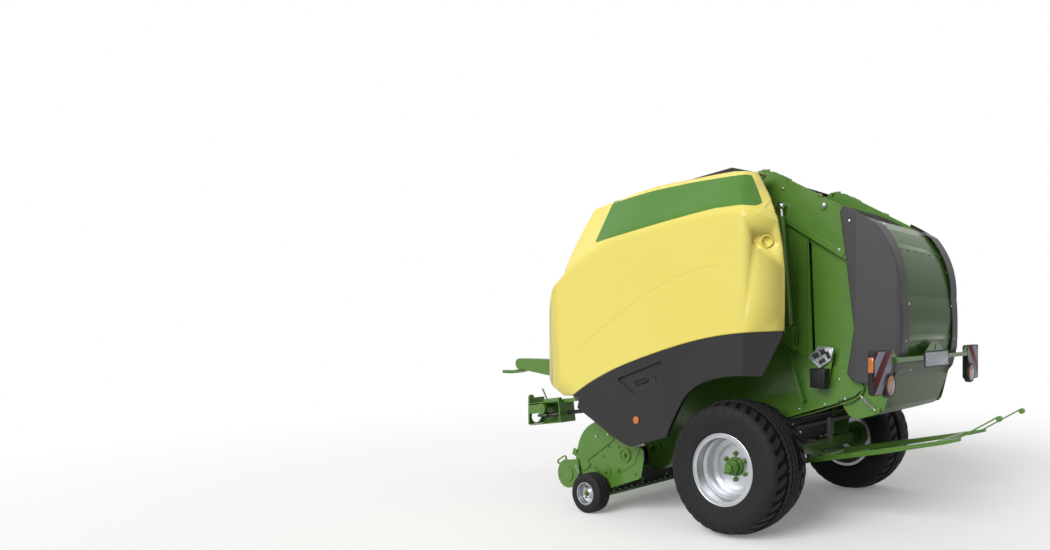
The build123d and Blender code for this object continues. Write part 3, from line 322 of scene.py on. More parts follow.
def pull_out(builder, faces, way):
    """Extrude faces by a vector and give back what was made."""
    grown = bmesh.ops.extrude_face_region(builder, geom=faces)["geom"]
    moved = [g for g in grown if isinstance(g, bmesh.types.BMVert)]
    bmesh.ops.translate(builder, vec=way, verts=moved)
    return grown


def rod(builder, start, end, radius, far_radius=None, segments=16, rim=0.0):
    """Round bar or cone between two points, with its ends rounded by rim; radii in millimetres."""
    far = radius if far_radius is None else far_radius
    made = bmesh.ops.create_cone(builder, cap_ends=True, segments=segments, radius1=radius * MM,
                                 radius2=far * MM, depth=(end - start).length,
                                 matrix=aim((start + end) / 2, end - start))
    caps = {f for v in made["verts"] for f in v.link_faces if len(f.verts) == segments}
    round_edges(builder, {e for f in caps for e in f.edges}, rim)


def slab(builder, middle, size, matrix=Matrix(), rim=0.0):
    """Rounded block by its middle and size in millimetres; matrix turns it about its middle."""
    made = bmesh.ops.create_cube(builder, size=1.0)
    spread = Matrix.Diagonal((size[0] * MM, size[1] * MM, size[2] * MM, 1))
    bmesh.ops.transform(builder, matrix=Matrix.Translation(middle) @ matrix @ spread,
                        verts=made["verts"])
    round_edges(builder, {e for v in made["verts"] for e in v.link_edges}, rim)


def sheet_metal(builder, points, y, thickness, rim=0.0):
    """Plate cut to an outline of (x, z), standing at y and growing outwards (to -y) by its thickness."""
    verts = [builder.verts.new(at(px, y, pz)) for px, pz in points]
    grown = pull_out(builder, [builder.faces.new(verts)], (0, -thickness * MM, 0))
    round_edges(builder, [g for g in grown if isinstance(g, bmesh.types.BMEdge)], rim)


def turned(builder, profile, centre, direction, segments=48):
    """Turn a closed profile of (along, radius) millimetres round an axis through the centre."""
    place = aim(centre, direction)
    verts = [builder.verts.new(place @ Vector((radius * MM, 0, along * MM))) for along, radius in profile]
    edges = [builder.edges.new((verts[i - 1], verts[i])) for i in range(len(verts))]
    bmesh.ops.spin(builder, geom=verts + edges, cent=centre, axis=Vector(direction).normalized(),
                   angle=math.tau, steps=segments, use_merge=True)


def bolt(builder, point, normal, flats=19.0, height=9.0):
    """Hexagon head on a round washer."""
    normal = Vector(normal).normalized()
    rod(builder, point, point + normal * 2.5 * MM, flats * 0.78, segments=14)
    rod(builder, point + normal * 2.5 * MM, point + normal * (2.5 + height) * MM, flats / 1.732,
        segments=6, rim=0.8)


def rivet(builder, point, normal, radius=7.0):
    """Low domed head."""
    verts = bmesh.ops.create_uvsphere(builder, u_segments=10, v_segments=6, radius=radius * MM)["verts"]
    bmesh.ops.scale(builder, vec=(1, 1, 0.5), verts=verts)
    bmesh.ops.transform(builder, matrix=aim(point, normal), verts=verts)


def bead(builder, line, y, radius, segments):
    """Round bead along a line of (x, z), at y."""
    for (x1, z1), (x2, z2) in zip(line, line[1:]):
        rod(builder, at(x1, y, z1), at(x2, y, z2), radius, segments=segments)


def bent_rod(builder, points, radius, segments=8):
    """Round wire through points: a straight piece to each next point, with balls in the bends."""
    for start, end in zip(points, points[1:]):
        rod(builder, start, end, radius, segments=segments)
    for bend in points[1:-1]:
        bmesh.ops.create_uvsphere(builder, u_segments=segments, v_segments=4, radius=radius * MM,
                                  matrix=Matrix.Translation(bend))


LEFT = Vector((0, -1, 0))
REAR = Vector((1, 0, 0))

# --- tyres -------------------------------------------------------------------------------
LUGS = 32                       # shoulder lugs round each side
TREAD = 15.0                    # groove depth
CASING_STEPS = 128
GROOVE_FACES = 36 * CASING_STEPS   # the casing's faces, which are made first, and a row of the first rib
GROOVE_R = 497.0                # the tread's grooves begin at this radius
WHEEL = at(0, -TRACK_HALF, AXLE_Z / MM)
# outer half of the casing from the bead to the crown, (out from the middle plane, radius)
CASING = ((200, 257), (207, 272), (222, 286), (231, 300), (232, 318), (239, 352), (243, 385), (244, 415),
          (241, 440), (236, 462), (226, 482), (208, 494), (180, 501.5), (140, 508), (90, 512.5),
          (45, 515), (0, 516))


def build_casing(builder):
    """Closed casing: sidewalls with a rim guard, shoulders, and the floor of the grooves."""
    outer = [(out, radius) for out, radius in CASING]
    inner = [(-out, radius) for out, radius in reversed(CASING[:-1])]
    profile = outer + inner + [(-190, 262), (190, 262)]
    turned(builder, profile, WHEEL, LEFT, segments=CASING_STEPS)
    # centre ribs: four rings that swing from side to side, twice for each shoulder lug
    for rib in (-66, -22, 22, 66):
        before = set(builder.verts)
        low = 510 - abs(rib) * 0.03
        top = 528 - rib * rib / 1500
        turned(builder, [(rib - 17, low), (rib - 14, top - 2), (rib - 11, top), (rib + 11, top),
                         (rib + 14, top - 2), (rib + 17, low)], WHEEL, LEFT, segments=LUGS * 8)
        for vert in set(builder.verts) - before:
            offset = vert.co - WHEEL
            turn = math.atan2(offset.z, offset.x)
            vert.co.y -= 6.5 * MM * math.sin(turn * LUGS * 2)


def shoulder(distance):
    """Point and normal of the casing, (out, radius), at a distance in from the tread's outer edge."""
    path = [(243, 418), (241, 440), (236, 462), (228, 482), (210, 494), (180, 501.5), (140, 508),
            (100, 511.5), (70, 513)]
    for start, end in zip(path, path[1:]):
        step = math.dist(start, end)
        if distance <= step:
            break
        distance -= step
    share = distance / step
    spot = Vector((start[0] + (end[0] - start[0]) * share, start[1] + (end[1] - start[1]) * share))
    along = Vector((end[0] - start[0], end[1] - start[1])).normalized()
    return spot, Vector((-along.y, along.x)) * (-1 if along.x > 0 else 1)


def build_lugs(builder):
    """Shoulder lugs: long blocks from the sidewall over the shoulder, their inner ends pointed."""
    pitch = math.tau * TYRE_R / LUGS
    for side in (1, -1):
        for number in range(LUGS):
            made = bmesh.ops.create_grid(builder, x_segments=3, y_segments=9, size=0.5)["verts"]
            grown = pull_out(builder, list({f for v in made for f in v.link_faces}), (0, 0, 1))
            raised = {g for g in grown if isinstance(g, bmesh.types.BMVert)}
            for vert in set(made) | raised:
                across_lug, along, height = vert.co.x, vert.co.y + 0.5, vert.co.z
                reach = along * 176.0 + (1 - abs(across_lug) * 2) * 16 * along
                width = pitch * (0.52 + 0.10 * along) - height * 6
                lean = 0.62 * pitch * along * along
                spot, normal = shoulder(reach)
                lift = height * TREAD * (0.6 if along < 0.08 else 1.0) - (1 - height) * 3
                out, radius = spot + normal * lift
                angle = (number + (0.5 if side < 0 else 0)) * math.tau / LUGS
                angle += (across_lug * width + lean) / TYRE_R
                vert.co = WHEEL + Vector((radius * math.cos(angle), -side * out,
                                          radius * math.sin(angle))) * MM


def build_tyre(builder):
    """Casing with its centre ribs and shoulder lugs."""
    build_casing(builder)
    build_lugs(builder)


mount_pair(build_tyre, "tyre_with_tread", ("left_wheel", "right_wheel"), tyre_rubber, "tyre")


def paint_groove_shade(tyre, side):
    """Painted shade on the casing between the lugs and ribs, as a second, darker finish; side is 1 on the
    left.
    """
    tyre.data.materials.append(groove_rubber_painted_shade)
    for face in tyre.data.polygons[:GROOVE_FACES]:
        offset = Vector((face.center.x, face.center.y * side, face.center.z)) - WHEEL
        if math.hypot(offset.x, offset.z) > GROOVE_R * MM:
            face.material_index = 1


paint_groove_shade(bpy.data.objects["left_tyre_with_tread"], 1)
paint_groove_shade(bpy.data.objects["right_tyre_with_tread"], -1)


def build_wheel_nuts(builder):
    """Six wheel nuts with conical seats, the hub cap's hexagon, and a grease plug."""
    face = WHEEL + LEFT * 36 * MM
    for number in range(6):
        turn = math.radians(90 + 60 * number)
        spot = face + Vector((math.cos(turn), 0, math.sin(turn))) * 102.5 * MM
        rod(builder, spot, spot + LEFT * 7 * MM, 21, 17, segments=16)
        rod(builder, spot + LEFT * 7 * MM, spot + LEFT * 21 * MM, 17.5, segments=6, rim=1.2)
        rod(builder, spot + LEFT * 21 * MM, spot + LEFT * 33 * MM, 10.6, segments=12, rim=1.5)
    rod(builder, WHEEL + LEFT * 96 * MM, WHEEL + LEFT * 112 * MM, 62, 58, segments=32, rim=2)
    rod(builder, WHEEL + LEFT * 126 * MM, WHEEL + LEFT * 150 * MM, 38, segments=6, rim=3)
    rod(builder, WHEEL + LEFT * 150 * MM, WHEEL + LEFT * 153 * MM, 17, segments=12, rim=1)
    for number in range(8):
        turn = math.radians(22.5 + 45 * number)
        spot = WHEEL + LEFT * 58 * MM + Vector((math.cos(turn), 0, math.sin(turn))) * 66 * MM
        bolt(builder, spot, LEFT, 13, 7)


mount_pair(build_wheel_nuts, "wheel_nuts", ("left_wheel", "right_wheel"), enamel_green)


def build_rim_beads(builder):
    """Rolled bead on the rim's edge and the step inside it."""
    for out, radius, thick in ((223, 279, 5), (150, 249, 4)):
        profile = [(out + thick * math.cos(a * math.tau / 8), radius + thick * math.sin(a * math.tau / 8))
                   for a in range(8)]
        turned(builder, profile, WHEEL, LEFT, segments=96)


mount_pair(build_rim_beads, "rim_beads", ("left_wheel", "right_wheel"), wheel_silver)


# --- side hoods --------------------------------------------------------------------------
def corner_arc(before, corner, after, radius, steps=4):
    """Points of a rounded corner of an outline; a corner that is almost straight stays as it is."""
    corner = Vector(corner)
    into, out = (Vector(before) - corner).normalized(), (Vector(after) - corner).normalized()
    half = into.angle(out) / 2
    if half > math.radians(80):
        return [corner]
    reach = radius / math.tan(half)
    middle = corner + (into + out).normalized() * radius / math.sin(half)
    start = (corner + into * reach - middle) / radius
    end = (corner + out * reach - middle) / radius
    return [middle + start.slerp(end, step / steps) * radius for step in range(steps + 1)]


def rounded(points, radius):
    """Outline with every corner rounded."""
    count = len(points)
    return [p for i in range(count)
            for p in corner_arc(points[i - 1], points[i], points[(i + 1) % count], radius)]


# lines of (behind the axle, up) on the upper hood: its crease, the CAD's top edge, and the arch over it
HOOD_CREASE = ((-1675, 2089), (-1372, 2274), (-871, 2421), (-275, 2508), (300, 2500), (600, 2420))
HOOD_TOP = ((-1675, 2662), (-1372, 2690), (-871, 2735), (-275, 2790), (300, 2842), (600, 2869))
HOOD_ARCH = ((-1672, 0), (-1572, 3), (-1315, 29), (-1097, 57), (-885, 77), (-681, 76), (-483, 68),
             (-229, 59), (-34, 49), (156, 14), (260, 0))
ARCH_IN, ARCH_OUT = 800, 1000   # out from the middle: the arch grows from nothing to its full height
BEVEL_AT = (205, -1290, 2510)   # where the side, the rear bevel and their upper parts meet
BEVEL_LEAN = Vector((0.606, -0.466, 0.644))


def height_on(line, x):
    """Height of a line of (x, height) at x, level beyond its ends."""
    if x <= line[0][0]:
        return line[0][1]
    for (x1, h1), (x2, h2) in zip(line, line[1:]):
        if x <= x2:
            return h1 + (h2 - h1) * (x - x1) / (x2 - x1)
    return line[-1][1]


def cut_across(builder, point, normal, floor=0.0):
    """Cut the faces above a height along a plane and keep both sides."""
    faces = [f for f in builder.faces if max(v.co.z for v in f.verts) > floor]
    edges = {edge for face in faces for edge in face.edges}
    verts = {vert for face in faces for vert in face.verts}
    bmesh.ops.bisect_plane(builder, geom=faces + list(edges) + list(verts), plane_co=point, plane_no=normal)


def build_hood(builder):
    """Upper hood panel: the CAD skin with its top edge arched and the corner of its rear bevel whole."""
    builder.from_mesh(nodes["left_hood_upper"].data)
    bmesh.ops.remove_doubles(builder, verts=builder.verts, dist=1e-5)
    for x in range(-1570, 241, 90):
        cut_across(builder, at(x, 0, 0), Vector((1, 0, 0)), (height_on(HOOD_CREASE, x) + 60) * MM)
    for vert in builder.verts:
        x, z = (vert.co.x - AXLE_X) / MM, vert.co.z / MM
        crease, top = height_on(HOOD_CREASE, x), height_on(HOOD_TOP, x)
        share = min(max((z - crease) / (top - crease), 0.0), 1.0)
        outer = min(max((-vert.co.y / MM - ARCH_IN) / (ARCH_OUT - ARCH_IN), 0.0), 1.0)
        vert.co.z += height_on(HOOD_ARCH, x) * share * outer * MM
    bevel = BEVEL_LEAN.normalized()
    corner = [(286, 2480), (350, 2455.5), (416, 2430.5), (331, 2560), (297, 2608), (284, 2602)]
    verts = []
    for x, z in corner:
        rise = BEVEL_LEAN.x * (x - BEVEL_AT[0]) + BEVEL_LEAN.z * (z - BEVEL_AT[2])
        y = BEVEL_AT[1] - rise / BEVEL_LEAN.y
        verts.append(builder.verts.new(at(x, y, z) - bevel * 0.3 * MM))
    pull_out(builder, [builder.faces.new(verts)], -bevel * 6 * MM)


mount_pair(build_hood, "hood_panel", ("left_hood", "right_hood"), gelcoat_yellow, "hood_upper")

# bonded band along the shoulder of the hood, wrapped on its rear bevel
FILM_THICK = 1.3
BAND_INNER = -0.94              # the band ends outside this line, in metres right of the middle
BAND_FLOOR = 2.3                # and above this height, in metres
FACES_OUT = -0.15               # a face of the outer skin points left by more than this
BAND = rounded([(-1348, 2346), (-1336, 2714), (-864, 2775), (-464, 2805), (-208, 2813), (108, 2820),
                (288, 2550), (137, 2549), (-68, 2541), (-295, 2512), (-676, 2454), (-1102, 2385)], 24)


def inside(outline, x, z):
    """Whether a point lies in a closed outline."""
    crossings = 0
    for (x1, z1), (x2, z2) in zip(outline, outline[1:] + outline[:1]):
        if (z1 > z) != (z2 > z) and x < x1 + (x2 - x1) * (z - z1) / (z2 - z1):
            crossings += 1
    return crossings % 2 == 1


def build_band(builder):
    """Film on the outer skin of the hood, cut to the band's outline."""
    build_hood(builder)
    builder.normal_update()
    inner = [f for f in builder.faces
             if f.normal.y > FACES_OUT or max(v.co.z for v in f.verts) < BAND_FLOOR]
    bmesh.ops.delete(builder, geom=inner, context="FACES")
    for (x1, z1), (x2, z2) in zip(BAND, BAND[1:] + BAND[:1]):
        cut_across(builder, at(x1, 0, z1), Vector((z2 - z1, 0, x1 - x2)).normalized())
    outer = []
    for face in builder.faces:
        middle = face.calc_center_median()
        if middle.y > BAND_INNER or not inside(BAND, (middle.x - AXLE_X) / MM, middle.z / MM):
            outer.append(face)
    bmesh.ops.delete(builder, geom=outer, context="FACES")
    builder.normal_update()
    for vert, normal in [(v, v.normal.copy()) for v in builder.verts]:
        vert.co += normal * FILM_THICK * MM


mount_pair(build_band, "hood_band", ("left_hood", "right_hood"), film_green)

HOOD_Y = 1290.0                 # outer skin of the lower hood panels


def build_crease(builder):
    """Pressed line that sweeps up along the yellow panel, half sunk in the skin."""
    line = [at(x, -1286.5, z) for x, z in ((-1500, 1440), (-1308, 1570), (-1030, 1742), (-749, 1899),
                                          (-510, 2003), (-276, 2067), (-160, 2090), (-36, 2102))]
    bent_rod(builder, line, 4.5, segments=10)


def build_lower_crease(builder):
    """Fine line along the wheel arch of the grey panel."""
    bent_rod(builder, [at(-46, -1288, 1304), at(60, -1288, 1316), at(181, -1288, 1325)], 2.5)


mount_pair(build_crease, "hood_crease", ("left_hood", "right_hood"), gelcoat_yellow)
mount_pair(build_lower_crease, "arch_crease", ("left_hood", "right_hood"), abs_grey)


REFLECTOR = at(-853, 1.0 - HOOD_Y, 860)


def build_reflector(builder):
    """Round lens of the side reflector."""
    rod(builder, REFLECTOR, REFLECTOR + LEFT * 4 * MM, 33, 31, segments=32, rim=1.2)


def build_reflector_ring(builder):
    """Moulded ring round the reflector."""
    turned(builder, [(-2, 30), (4.5, 33), (5.5, 35), (4.5, 38), (-2, 40)], REFLECTOR, LEFT)


mount_pair(build_reflector, "side_reflector", ("left_hood", "right_hood"), lens_amber)
mount_pair(build_reflector_ring, "reflector_ring", ("left_hood", "right_hood"), black_polypropylene)


def build_latch_handle(builder):
    """Paddle handle in the dished part of the grey panel."""
    turn = Matrix.Rotation(math.radians(-17), 4, "Y")
    slab(builder, at(-808, 27 - HOOD_Y, 1174), (150, 22, 34), turn, rim=8)
    slab(builder, at(-770, 17 - HOOD_Y, 1186), (62, 10, 26), turn, rim=4)
    rod(builder, at(-661, 20 - HOOD_Y, 1217), at(-661, 12 - HOOD_Y, 1217), 9, segments=14, rim=1)


mount_pair(build_latch_handle, "latch_handle", ("left_hood", "right_hood"), black_polypropylene)

# --- tailgate ----------------------------------------------------------------------------
ARM_FACE, WALL_FACE = -694.5, -648.5          # outer faces of the tailgate arm and the front wall


def build_arm_bolts(builder):
    """Bolts of the tailgate arm."""
    for x, z, flats in ((573, 2588, 24), (704, 2232, 13), (192, 2757, 13)):
        bolt(builder, at(x, ARM_FACE + (16 if flats < 20 else 10), z), LEFT, flats, flats * 0.5)


mount_pair(build_arm_bolts, "arm_bolts", ("tailgate", "tailgate"), zinc_steel)


def panel_x(z):
    """Rear face of the tailgate sheet at a height, behind the axle, in millimetres."""
    spots = ((1000, 1052), (1240, 1136), (1490, 1190), (1600, 1196), (1740, 1201), (1870, 1184),
             (2050, 1148), (2235, 1096), (2330, 1046), (2408, 985))
    for (z1, x1), (z2, x2) in zip(spots, spots[1:]):
        if z <= z2:
            return x1 + (x2 - x1) * (z - z1) / (z2 - z1)
    return spots[-1][1]


def panel_normal(z):
    """Outward direction of the tailgate sheet at a height."""
    return Vector((20, 0, panel_x(z - 10) - panel_x(z + 10))).normalized()


def build_cover_bolts(builder):
    """Button-head screws through the edge of the moulded tail cover."""
    for x, y, z in ((1149, 528, 2104), (1204, 480, 1807), (1208, 550, 1522), (1134, 519, 1262),
                    (1004, 500, 2430)):
        rivet(builder, at(x, -y, z), panel_normal(z) + LEFT * 0.3, 10)
    rivet(builder, at(801, -702, 2448), LEFT, 12)


mount_pair(build_cover_bolts, "cover_screws", ("tailgate", "tailgate"), zinc_steel)


def build_panel_rivets(builder):
    """Rivet rows along both edges of the rear sheet and across its joint."""
    rows = [(z, (-560, 560), 7) for z in range(1560, 2360, 130)]
    rows += [(2235, range(-480, 481, 160), 7), (1290, (-500, -300, 300, 500), 8)]
    for z, places, radius in rows:
        for y in places:
            rivet(builder, at(panel_x(z), y, z), panel_normal(z), radius)


mount(build_panel_rivets, "panel_rivets", "tailgate", zinc_steel)


def build_panel_seam(builder):
    """Two strips across the rear sheet, over its joints."""
    for z in (2262, 1545):
        out = panel_normal(z)
        turn = Matrix.Rotation(-math.atan2(out.z, out.x), 4, "Y")
        slab(builder, at(panel_x(z), 0, z) + out * 1.2 * MM, (5, 1186, 46), turn, rim=1.2)


mount(build_panel_seam, "panel_seam", "tailgate", enamel_green)

# warning boards: striped faces, lamps and marker
BOARD_IN, BOARD_OUT, BOARD_X = 864.0, 1167.0, 1228.0
BOARD_Z, BOARD_TALL = 1303.5, 313.0
LAMP = (919.0, 1206.0)          # out from the middle, up
LAMP_X = BOARD_X + 3
PLATE_Z = 1368.0


def build_board_face(builder):
    """Striped face of a warning board with rounded corners and a turned edge."""
    middle = at(BOARD_X + 1.0, -(BOARD_IN + BOARD_OUT) / 2, BOARD_Z)
    slab(builder, middle, (3, BOARD_OUT - BOARD_IN - 14, BOARD_TALL - 14), rim=1.2)


mount_pair(build_board_face, "board_face", ("tailgate", "tailgate"), board_stripes)


def build_lamp_base(builder):
    """Moulded bezel round a tail lamp."""
    spot = at(LAMP_X, -LAMP[0], LAMP[1])
    turned(builder, [(-2, 70), (16, 74), (17.5, 78), (16, 84), (2, 89), (-2, 89)], spot, REAR, segments=56)


def build_lamp_red(builder):
    """Red lens of a tail lamp, domed."""
    spot = at(LAMP_X, -LAMP[0], LAMP[1])
    turned(builder, [(4, 0), (4, 74), (14, 74), (17, 60), (18, 0)], spot, REAR, segments=56)


mount_pair(build_lamp_base, "lamp_bezel", ("tailgate", "tailgate"), black_polypropylene)
mount_pair(build_lamp_red, "lamp_red", ("tailgate", "tailgate"), lens_red)


def build_lamp_amber(builder):
    """Amber sector of a tail lamp, toward the upper left on both sides."""
    for side in (-1, 1):
        before = set(builder.verts)
        spot = at(LAMP_X + 0.4, side * LAMP[0], LAMP[1])
        turned(builder, [(15, 0), (15, 71), (17.8, 60), (18.0, 0)], spot, REAR, segments=56)
        made = set(builder.verts) - before
        geom = list(made) + list({e for v in made for e in v.link_edges})
        geom += list({f for v in made for f in v.link_faces})
        bmesh.ops.bisect_plane(builder, geom=geom, plane_co=spot, plane_no=Vector((0, 0.82, -0.57)),
                               clear_outer=True)


mount(build_lamp_amber, "lamp_amber", "tailgate", lens_amber)


def build_marker(builder):
    """Amber side marker on the outboard edge of a board."""
    slab(builder, at(BOARD_X - 24, -BOARD_OUT - 5, BOARD_Z + 58), (40, 10, 106), rim=3)


mount_pair(build_marker, "side_marker", ("tailgate", "tailgate"), lens_amber)


def build_plate(builder):
    """Blank reflective number plate."""
    slab(builder, at(1254.6, 0, PLATE_Z), (2.4, 520, 110), rim=1)


mount(build_plate, "blank_plate", "tailgate", plate_white)


def build_bar_fittings(builder):
    """Flanged end plates, clamps and bolts of the light bar."""
    for side in (-1, 1):
        slab(builder, at(1231, side * 796, 1385), (40, 8, 44), rim=2)
        for y, z in ((846, 1440), (846, 1402)):
            bolt(builder, at(1222, side * y, z), REAR, 13, 7)
    for y in (-200, 200):
        slab(builder, at(1231, y, 1385), (39, 46, 39), rim=3)
        bolt(builder, at(1247, y, 1392), REAR, 10, 4)


mount(build_bar_fittings, "light_bar_fittings", "tailgate", enamel_green)


def build_plate_screws(builder):
    """Two caps that hold the number plate."""
    for y in (-240, 240):
        rivet(builder, at(1255.6, y, PLATE_Z), REAR, 7)


mount(build_plate_screws, "plate_screws", "tailgate", zinc_steel)


# --- front wall and chamber --------------------------------------------------------------
def build_wall_flange(builder):
    """Folded flange along the rear edge of the front wall, down to the latch."""
    line = ((254, 881), (480, 946), (705, 1020), (790, 1042), (842, 1074), (880, 1108), (905, 1150))
    bead(builder, line, WALL_FACE - 6, 7, 10)


mount_pair(build_wall_flange, "wall_flange", ("chassis", "chassis"), enamel_green)


def build_wall_gap(builder):
    """Rubber seal in the joint between the front wall and the tailgate."""
    line = ((254, 897), (480, 962), (705, 1036), (800, 1066), (846, 1096), (884, 1138), (910, 1160))
    bead(builder, line, WALL_FACE, 3.2, 8)


mount_pair(build_wall_gap, "wall_seal", ("chassis", "chassis"), black_polypropylene)


def build_wall_bolts(builder):
    """Bolts along the edge of the front wall."""
    for x, z in ((470, 1262), (560, 1180), (690, 1215), (800, 1232), (330, 960), (560, 1010), (742, 1064)):
        bolt(builder, at(x, WALL_FACE, z), LEFT, 13, 7)


mount_pair(build_wall_bolts, "wall_bolts", ("chassis", "chassis"), zinc_steel)


BRACKET_Y = -687.0


def build_tray(builder):
    """Galvanised bracket of the wheel chock with its turned edges."""
    corners = [(444, 1381), (539, 1478), (668, 1460), (640, 1365), (550, 1304)]
    sheet_metal(builder, corners, BRACKET_Y, 3, rim=0.8)
    for (x1, z1), (x2, z2) in zip(corners, corners[1:] + corners[:1]):
        turn = Matrix.Rotation(-math.atan2(z2 - z1, x2 - x1), 4, "Y")
        middle = at((x1 + x2) / 2, BRACKET_Y - 10, (z1 + z2) / 2)
        slab(builder, middle, (math.dist((x1, z1), (x2, z2)), 18, 4), turn, rim=1.2)


mount(build_tray, "chock_bracket", "chassis", galvanised)


def build_bracket_shade_slabs(builder):
    """Near-black slabs in the bracket's cut-outs: painted shade in place of the openings."""
    for x, z, wide, tall in ((505, 1400, 52, 40), (566, 1430, 44, 44), (612, 1406, 34, 60),
                             (560, 1356, 60, 30)):
        slab(builder, at(x, BRACKET_Y - 4, z), (wide, 2, tall), Matrix.Rotation(-0.45, 4, "Y"), rim=0.8)


mount(build_bracket_shade_slabs, "bracket_windows_painted_shade", "chassis", iron_primer_and_painted_shade)


def build_chock(builder):
    """Moulded wheel chock: a wedge with ribs on its outer and its sloping face."""
    sheet_metal(builder, [(486, 1292), (628, 1296), (612, 1142), (496, 1150)], -690, 78, rim=4)
    for number in range(6):
        slab(builder, at(500 + number * 24, -770, 1220), (9, 8, 132), rim=2)
    slab(builder, at(558, -732, 1297), (136, 84, 6), rim=2)


mount(build_chock, "ribbed_chock", "chassis", black_polypropylene, "wheel_chock")


def build_latch(builder):
    """Pull spring of the tailgate latch, with an eye bolt at each end."""
    start, end = at(880, WALL_FACE - 16, 1096), at(1010, WALL_FACE - 14, 984)
    eye, coil_radius = 30 * MM, 11 * MM
    along = (end - start).normalized()
    rod(builder, start, start + along * eye, 6, segments=10)
    rod(builder, end - along * eye, end, 6, segments=10)
    across = along.cross(LEFT).normalized()
    turns, steps = 12, 10
    coil = []
    for step in range(turns * steps + 1):
        angle = step * math.tau / steps
        share = step / (turns * steps)
        middle = start + along * (eye + ((end - start).length - 2 * eye) * share)
        coil.append(middle + (across * math.cos(angle) + LEFT * math.sin(angle)) * coil_radius)
    for first, second in zip(coil, coil[1:]):
        rod(builder, first, second, 2.6, segments=5)


mount_pair(build_latch, "latch_spring", ("chassis", "chassis"), zinc_steel)


def build_latch_hook(builder):
    """Hook plate that the spring pulls on."""
    sheet_metal(builder, [(985, 955), (1035, 968), (1040, 1000), (1016, 1010), (1006, 990), (980, 985)],
                WALL_FACE - 4, 8, rim=1.5)
    bolt(builder, at(1010, WALL_FACE - 12, 984), LEFT, 16, 8)


mount_pair(build_latch_hook, "latch_hook", ("tailgate", "tailgate"), enamel_green)


def build_underside_shade(builder):
    """Near-black sheets under the chamber that stand as painted shade: aprons between the walls, a cross
    shaft and its brackets.
    """
    slab(builder, at(250, 0, 860), (430, 1230, 5), Matrix.Rotation(-0.28, 4, "Y"), rim=1)
    slab(builder, at(-30, 0, 745), (6, 1230, 300), rim=1)
    slab(builder, at(-420, 0, 745), (620, 1230, 5), Matrix.Rotation(-0.12, 4, "Y"), rim=1)
    rod(builder, at(250, -600, 800), at(250, 600, 800), 24, segments=24)
    slab(builder, at(560, -560, 800), (34, 40, 200), rim=3)
    slab(builder, at(300, -596, 700), (300, 20, 34), rim=4)


mount(build_underside_shade, "underside_painted_shade", "chassis", iron_primer_and_painted_shade)


def build_shaft_ends(builder):
    """Bright bolt ends of the dark cross parts."""
    for x, z in ((238, 826), (314, 765), (120, 700)):
        bolt(builder, at(x, -606, z), LEFT, 16, 9)


mount(build_shaft_ends, "underside_bolts", "chassis", zinc_steel)


def build_ridge_clips(builder):
    """Clips with bolt heads along the top edge of the tailgate."""
    for x, z in ((180, 2858), (232, 2831), (520, 2677)):
        slab(builder, at(x, -655, z - 2), (46, 30, 22), Matrix.Rotation(0.5, 4, "Y"), rim=5)
        bolt(builder, at(x, -670, z - 2), LEFT, 13, 6)


mount_pair(build_ridge_clips, "ridge_clips", ("tailgate", "tailgate"), enamel_green)

# --- pickup ------------------------------------------------------------------------------
SIDE_FACE = -1083.0             # outer face of the pickup's side plate
REEL_X, REEL_Z = -1530, 330


def build_side_bolts(builder):
    """Bolts on the pickup's side plate."""
    for x, z, flats, proud in ((-1353, 579, 16, 1), (-1238, 581, 16, 1), (-1416, 483, 13, 1),
                               (-1039, 363, 16, 1), (-1239, 376, 19, 13), (-1157, 518, 24, 13),
                               (-1380, 348, 19, 13)):
        bolt(builder, at(x, SIDE_FACE - proud, z), LEFT, flats, flats * 0.5)


mount_pair(build_side_bolts, "pickup_bolts", ("pickup", "pickup"), enamel_green)


def build_white_bolts(builder):
    """Two new plated bolts at the top of the side plate."""
    for x, z in ((-1356, 682), (-1497, 652)):
        bolt(builder, at(x, SIDE_FACE - 10, z), LEFT, 13, 6)


mount_pair(build_white_bolts, "plated_bolts", ("pickup", "pickup"), zinc_steel)


def build_side_trim(builder):
    """Folded rim of the side plate, the cap of the reel's bearing and a lug in front."""
    rim_line = ((-1521, 777), (-1440, 785), (-1380, 722), (-1195, 660), (-1010, 598), (-954, 577))
    bead(builder, rim_line, SIDE_FACE - 3, 6, 8)
    turned(builder, [(-2, 62), (10, 60), (14, 48), (24, 44), (26, 20), (26, 0), (-2, 0)],
           at(REEL_X, SIDE_FACE, REEL_Z), LEFT, segments=40)
    for turn in range(6):
        angle = turn * math.tau / 6
        spot = at(REEL_X + 52 * math.cos(angle), SIDE_FACE - 12, REEL_Z + 52 * math.sin(angle))
        bolt(builder, spot, LEFT, 10, 5)
    slab(builder, at(-1764, SIDE_FACE - 6, 493), (46, 10, 60), Matrix.Rotation(0.4, 4, "Y"), rim=2)


mount_pair(build_side_trim, "pickup_trim", ("pickup", "pickup"), enamel_green)


def build_back_apron(builder):
    """Dark sheet closing the pickup behind the stripper bands."""
    slab(builder, at(-1383, 0, 335), (3, 2110, 330), rim=0.5)


mount(build_back_apron, "pickup_apron", "pickup", black_polypropylene)


def build_apron_hooks(builder):
    """Rounded hooks along the apron's lower edge."""
    for y in (-1040, -700, -360, 0, 360, 700, 1040):
        bent_rod(builder, [at(-1372, y, 200), at(-1330, y, 196), at(-1300, y, 216), at(-1296, y, 250),
                           at(-1320, y, 266)], 7)


mount(build_apron_hooks, "apron_hooks", "pickup", enamel_green)


GAUGE_HUB = at(-1480, -1176, 173)


def build_gauge_tyre(builder):
    """Solid tyre of a gauge wheel with two grooves."""
    profile = [(-62, 92), (62, 92), (70, 104), (74, 130), (70, 156), (58, 170), (34, 172.6), (30, 168),
               (24, 168), (20, 172.6), (-20, 172.6), (-24, 168), (-30, 168), (-34, 172.6), (-58, 170),
               (-70, 156), (-74, 130), (-70, 104)]
    turned(builder, profile, GAUGE_HUB, LEFT, segments=72)


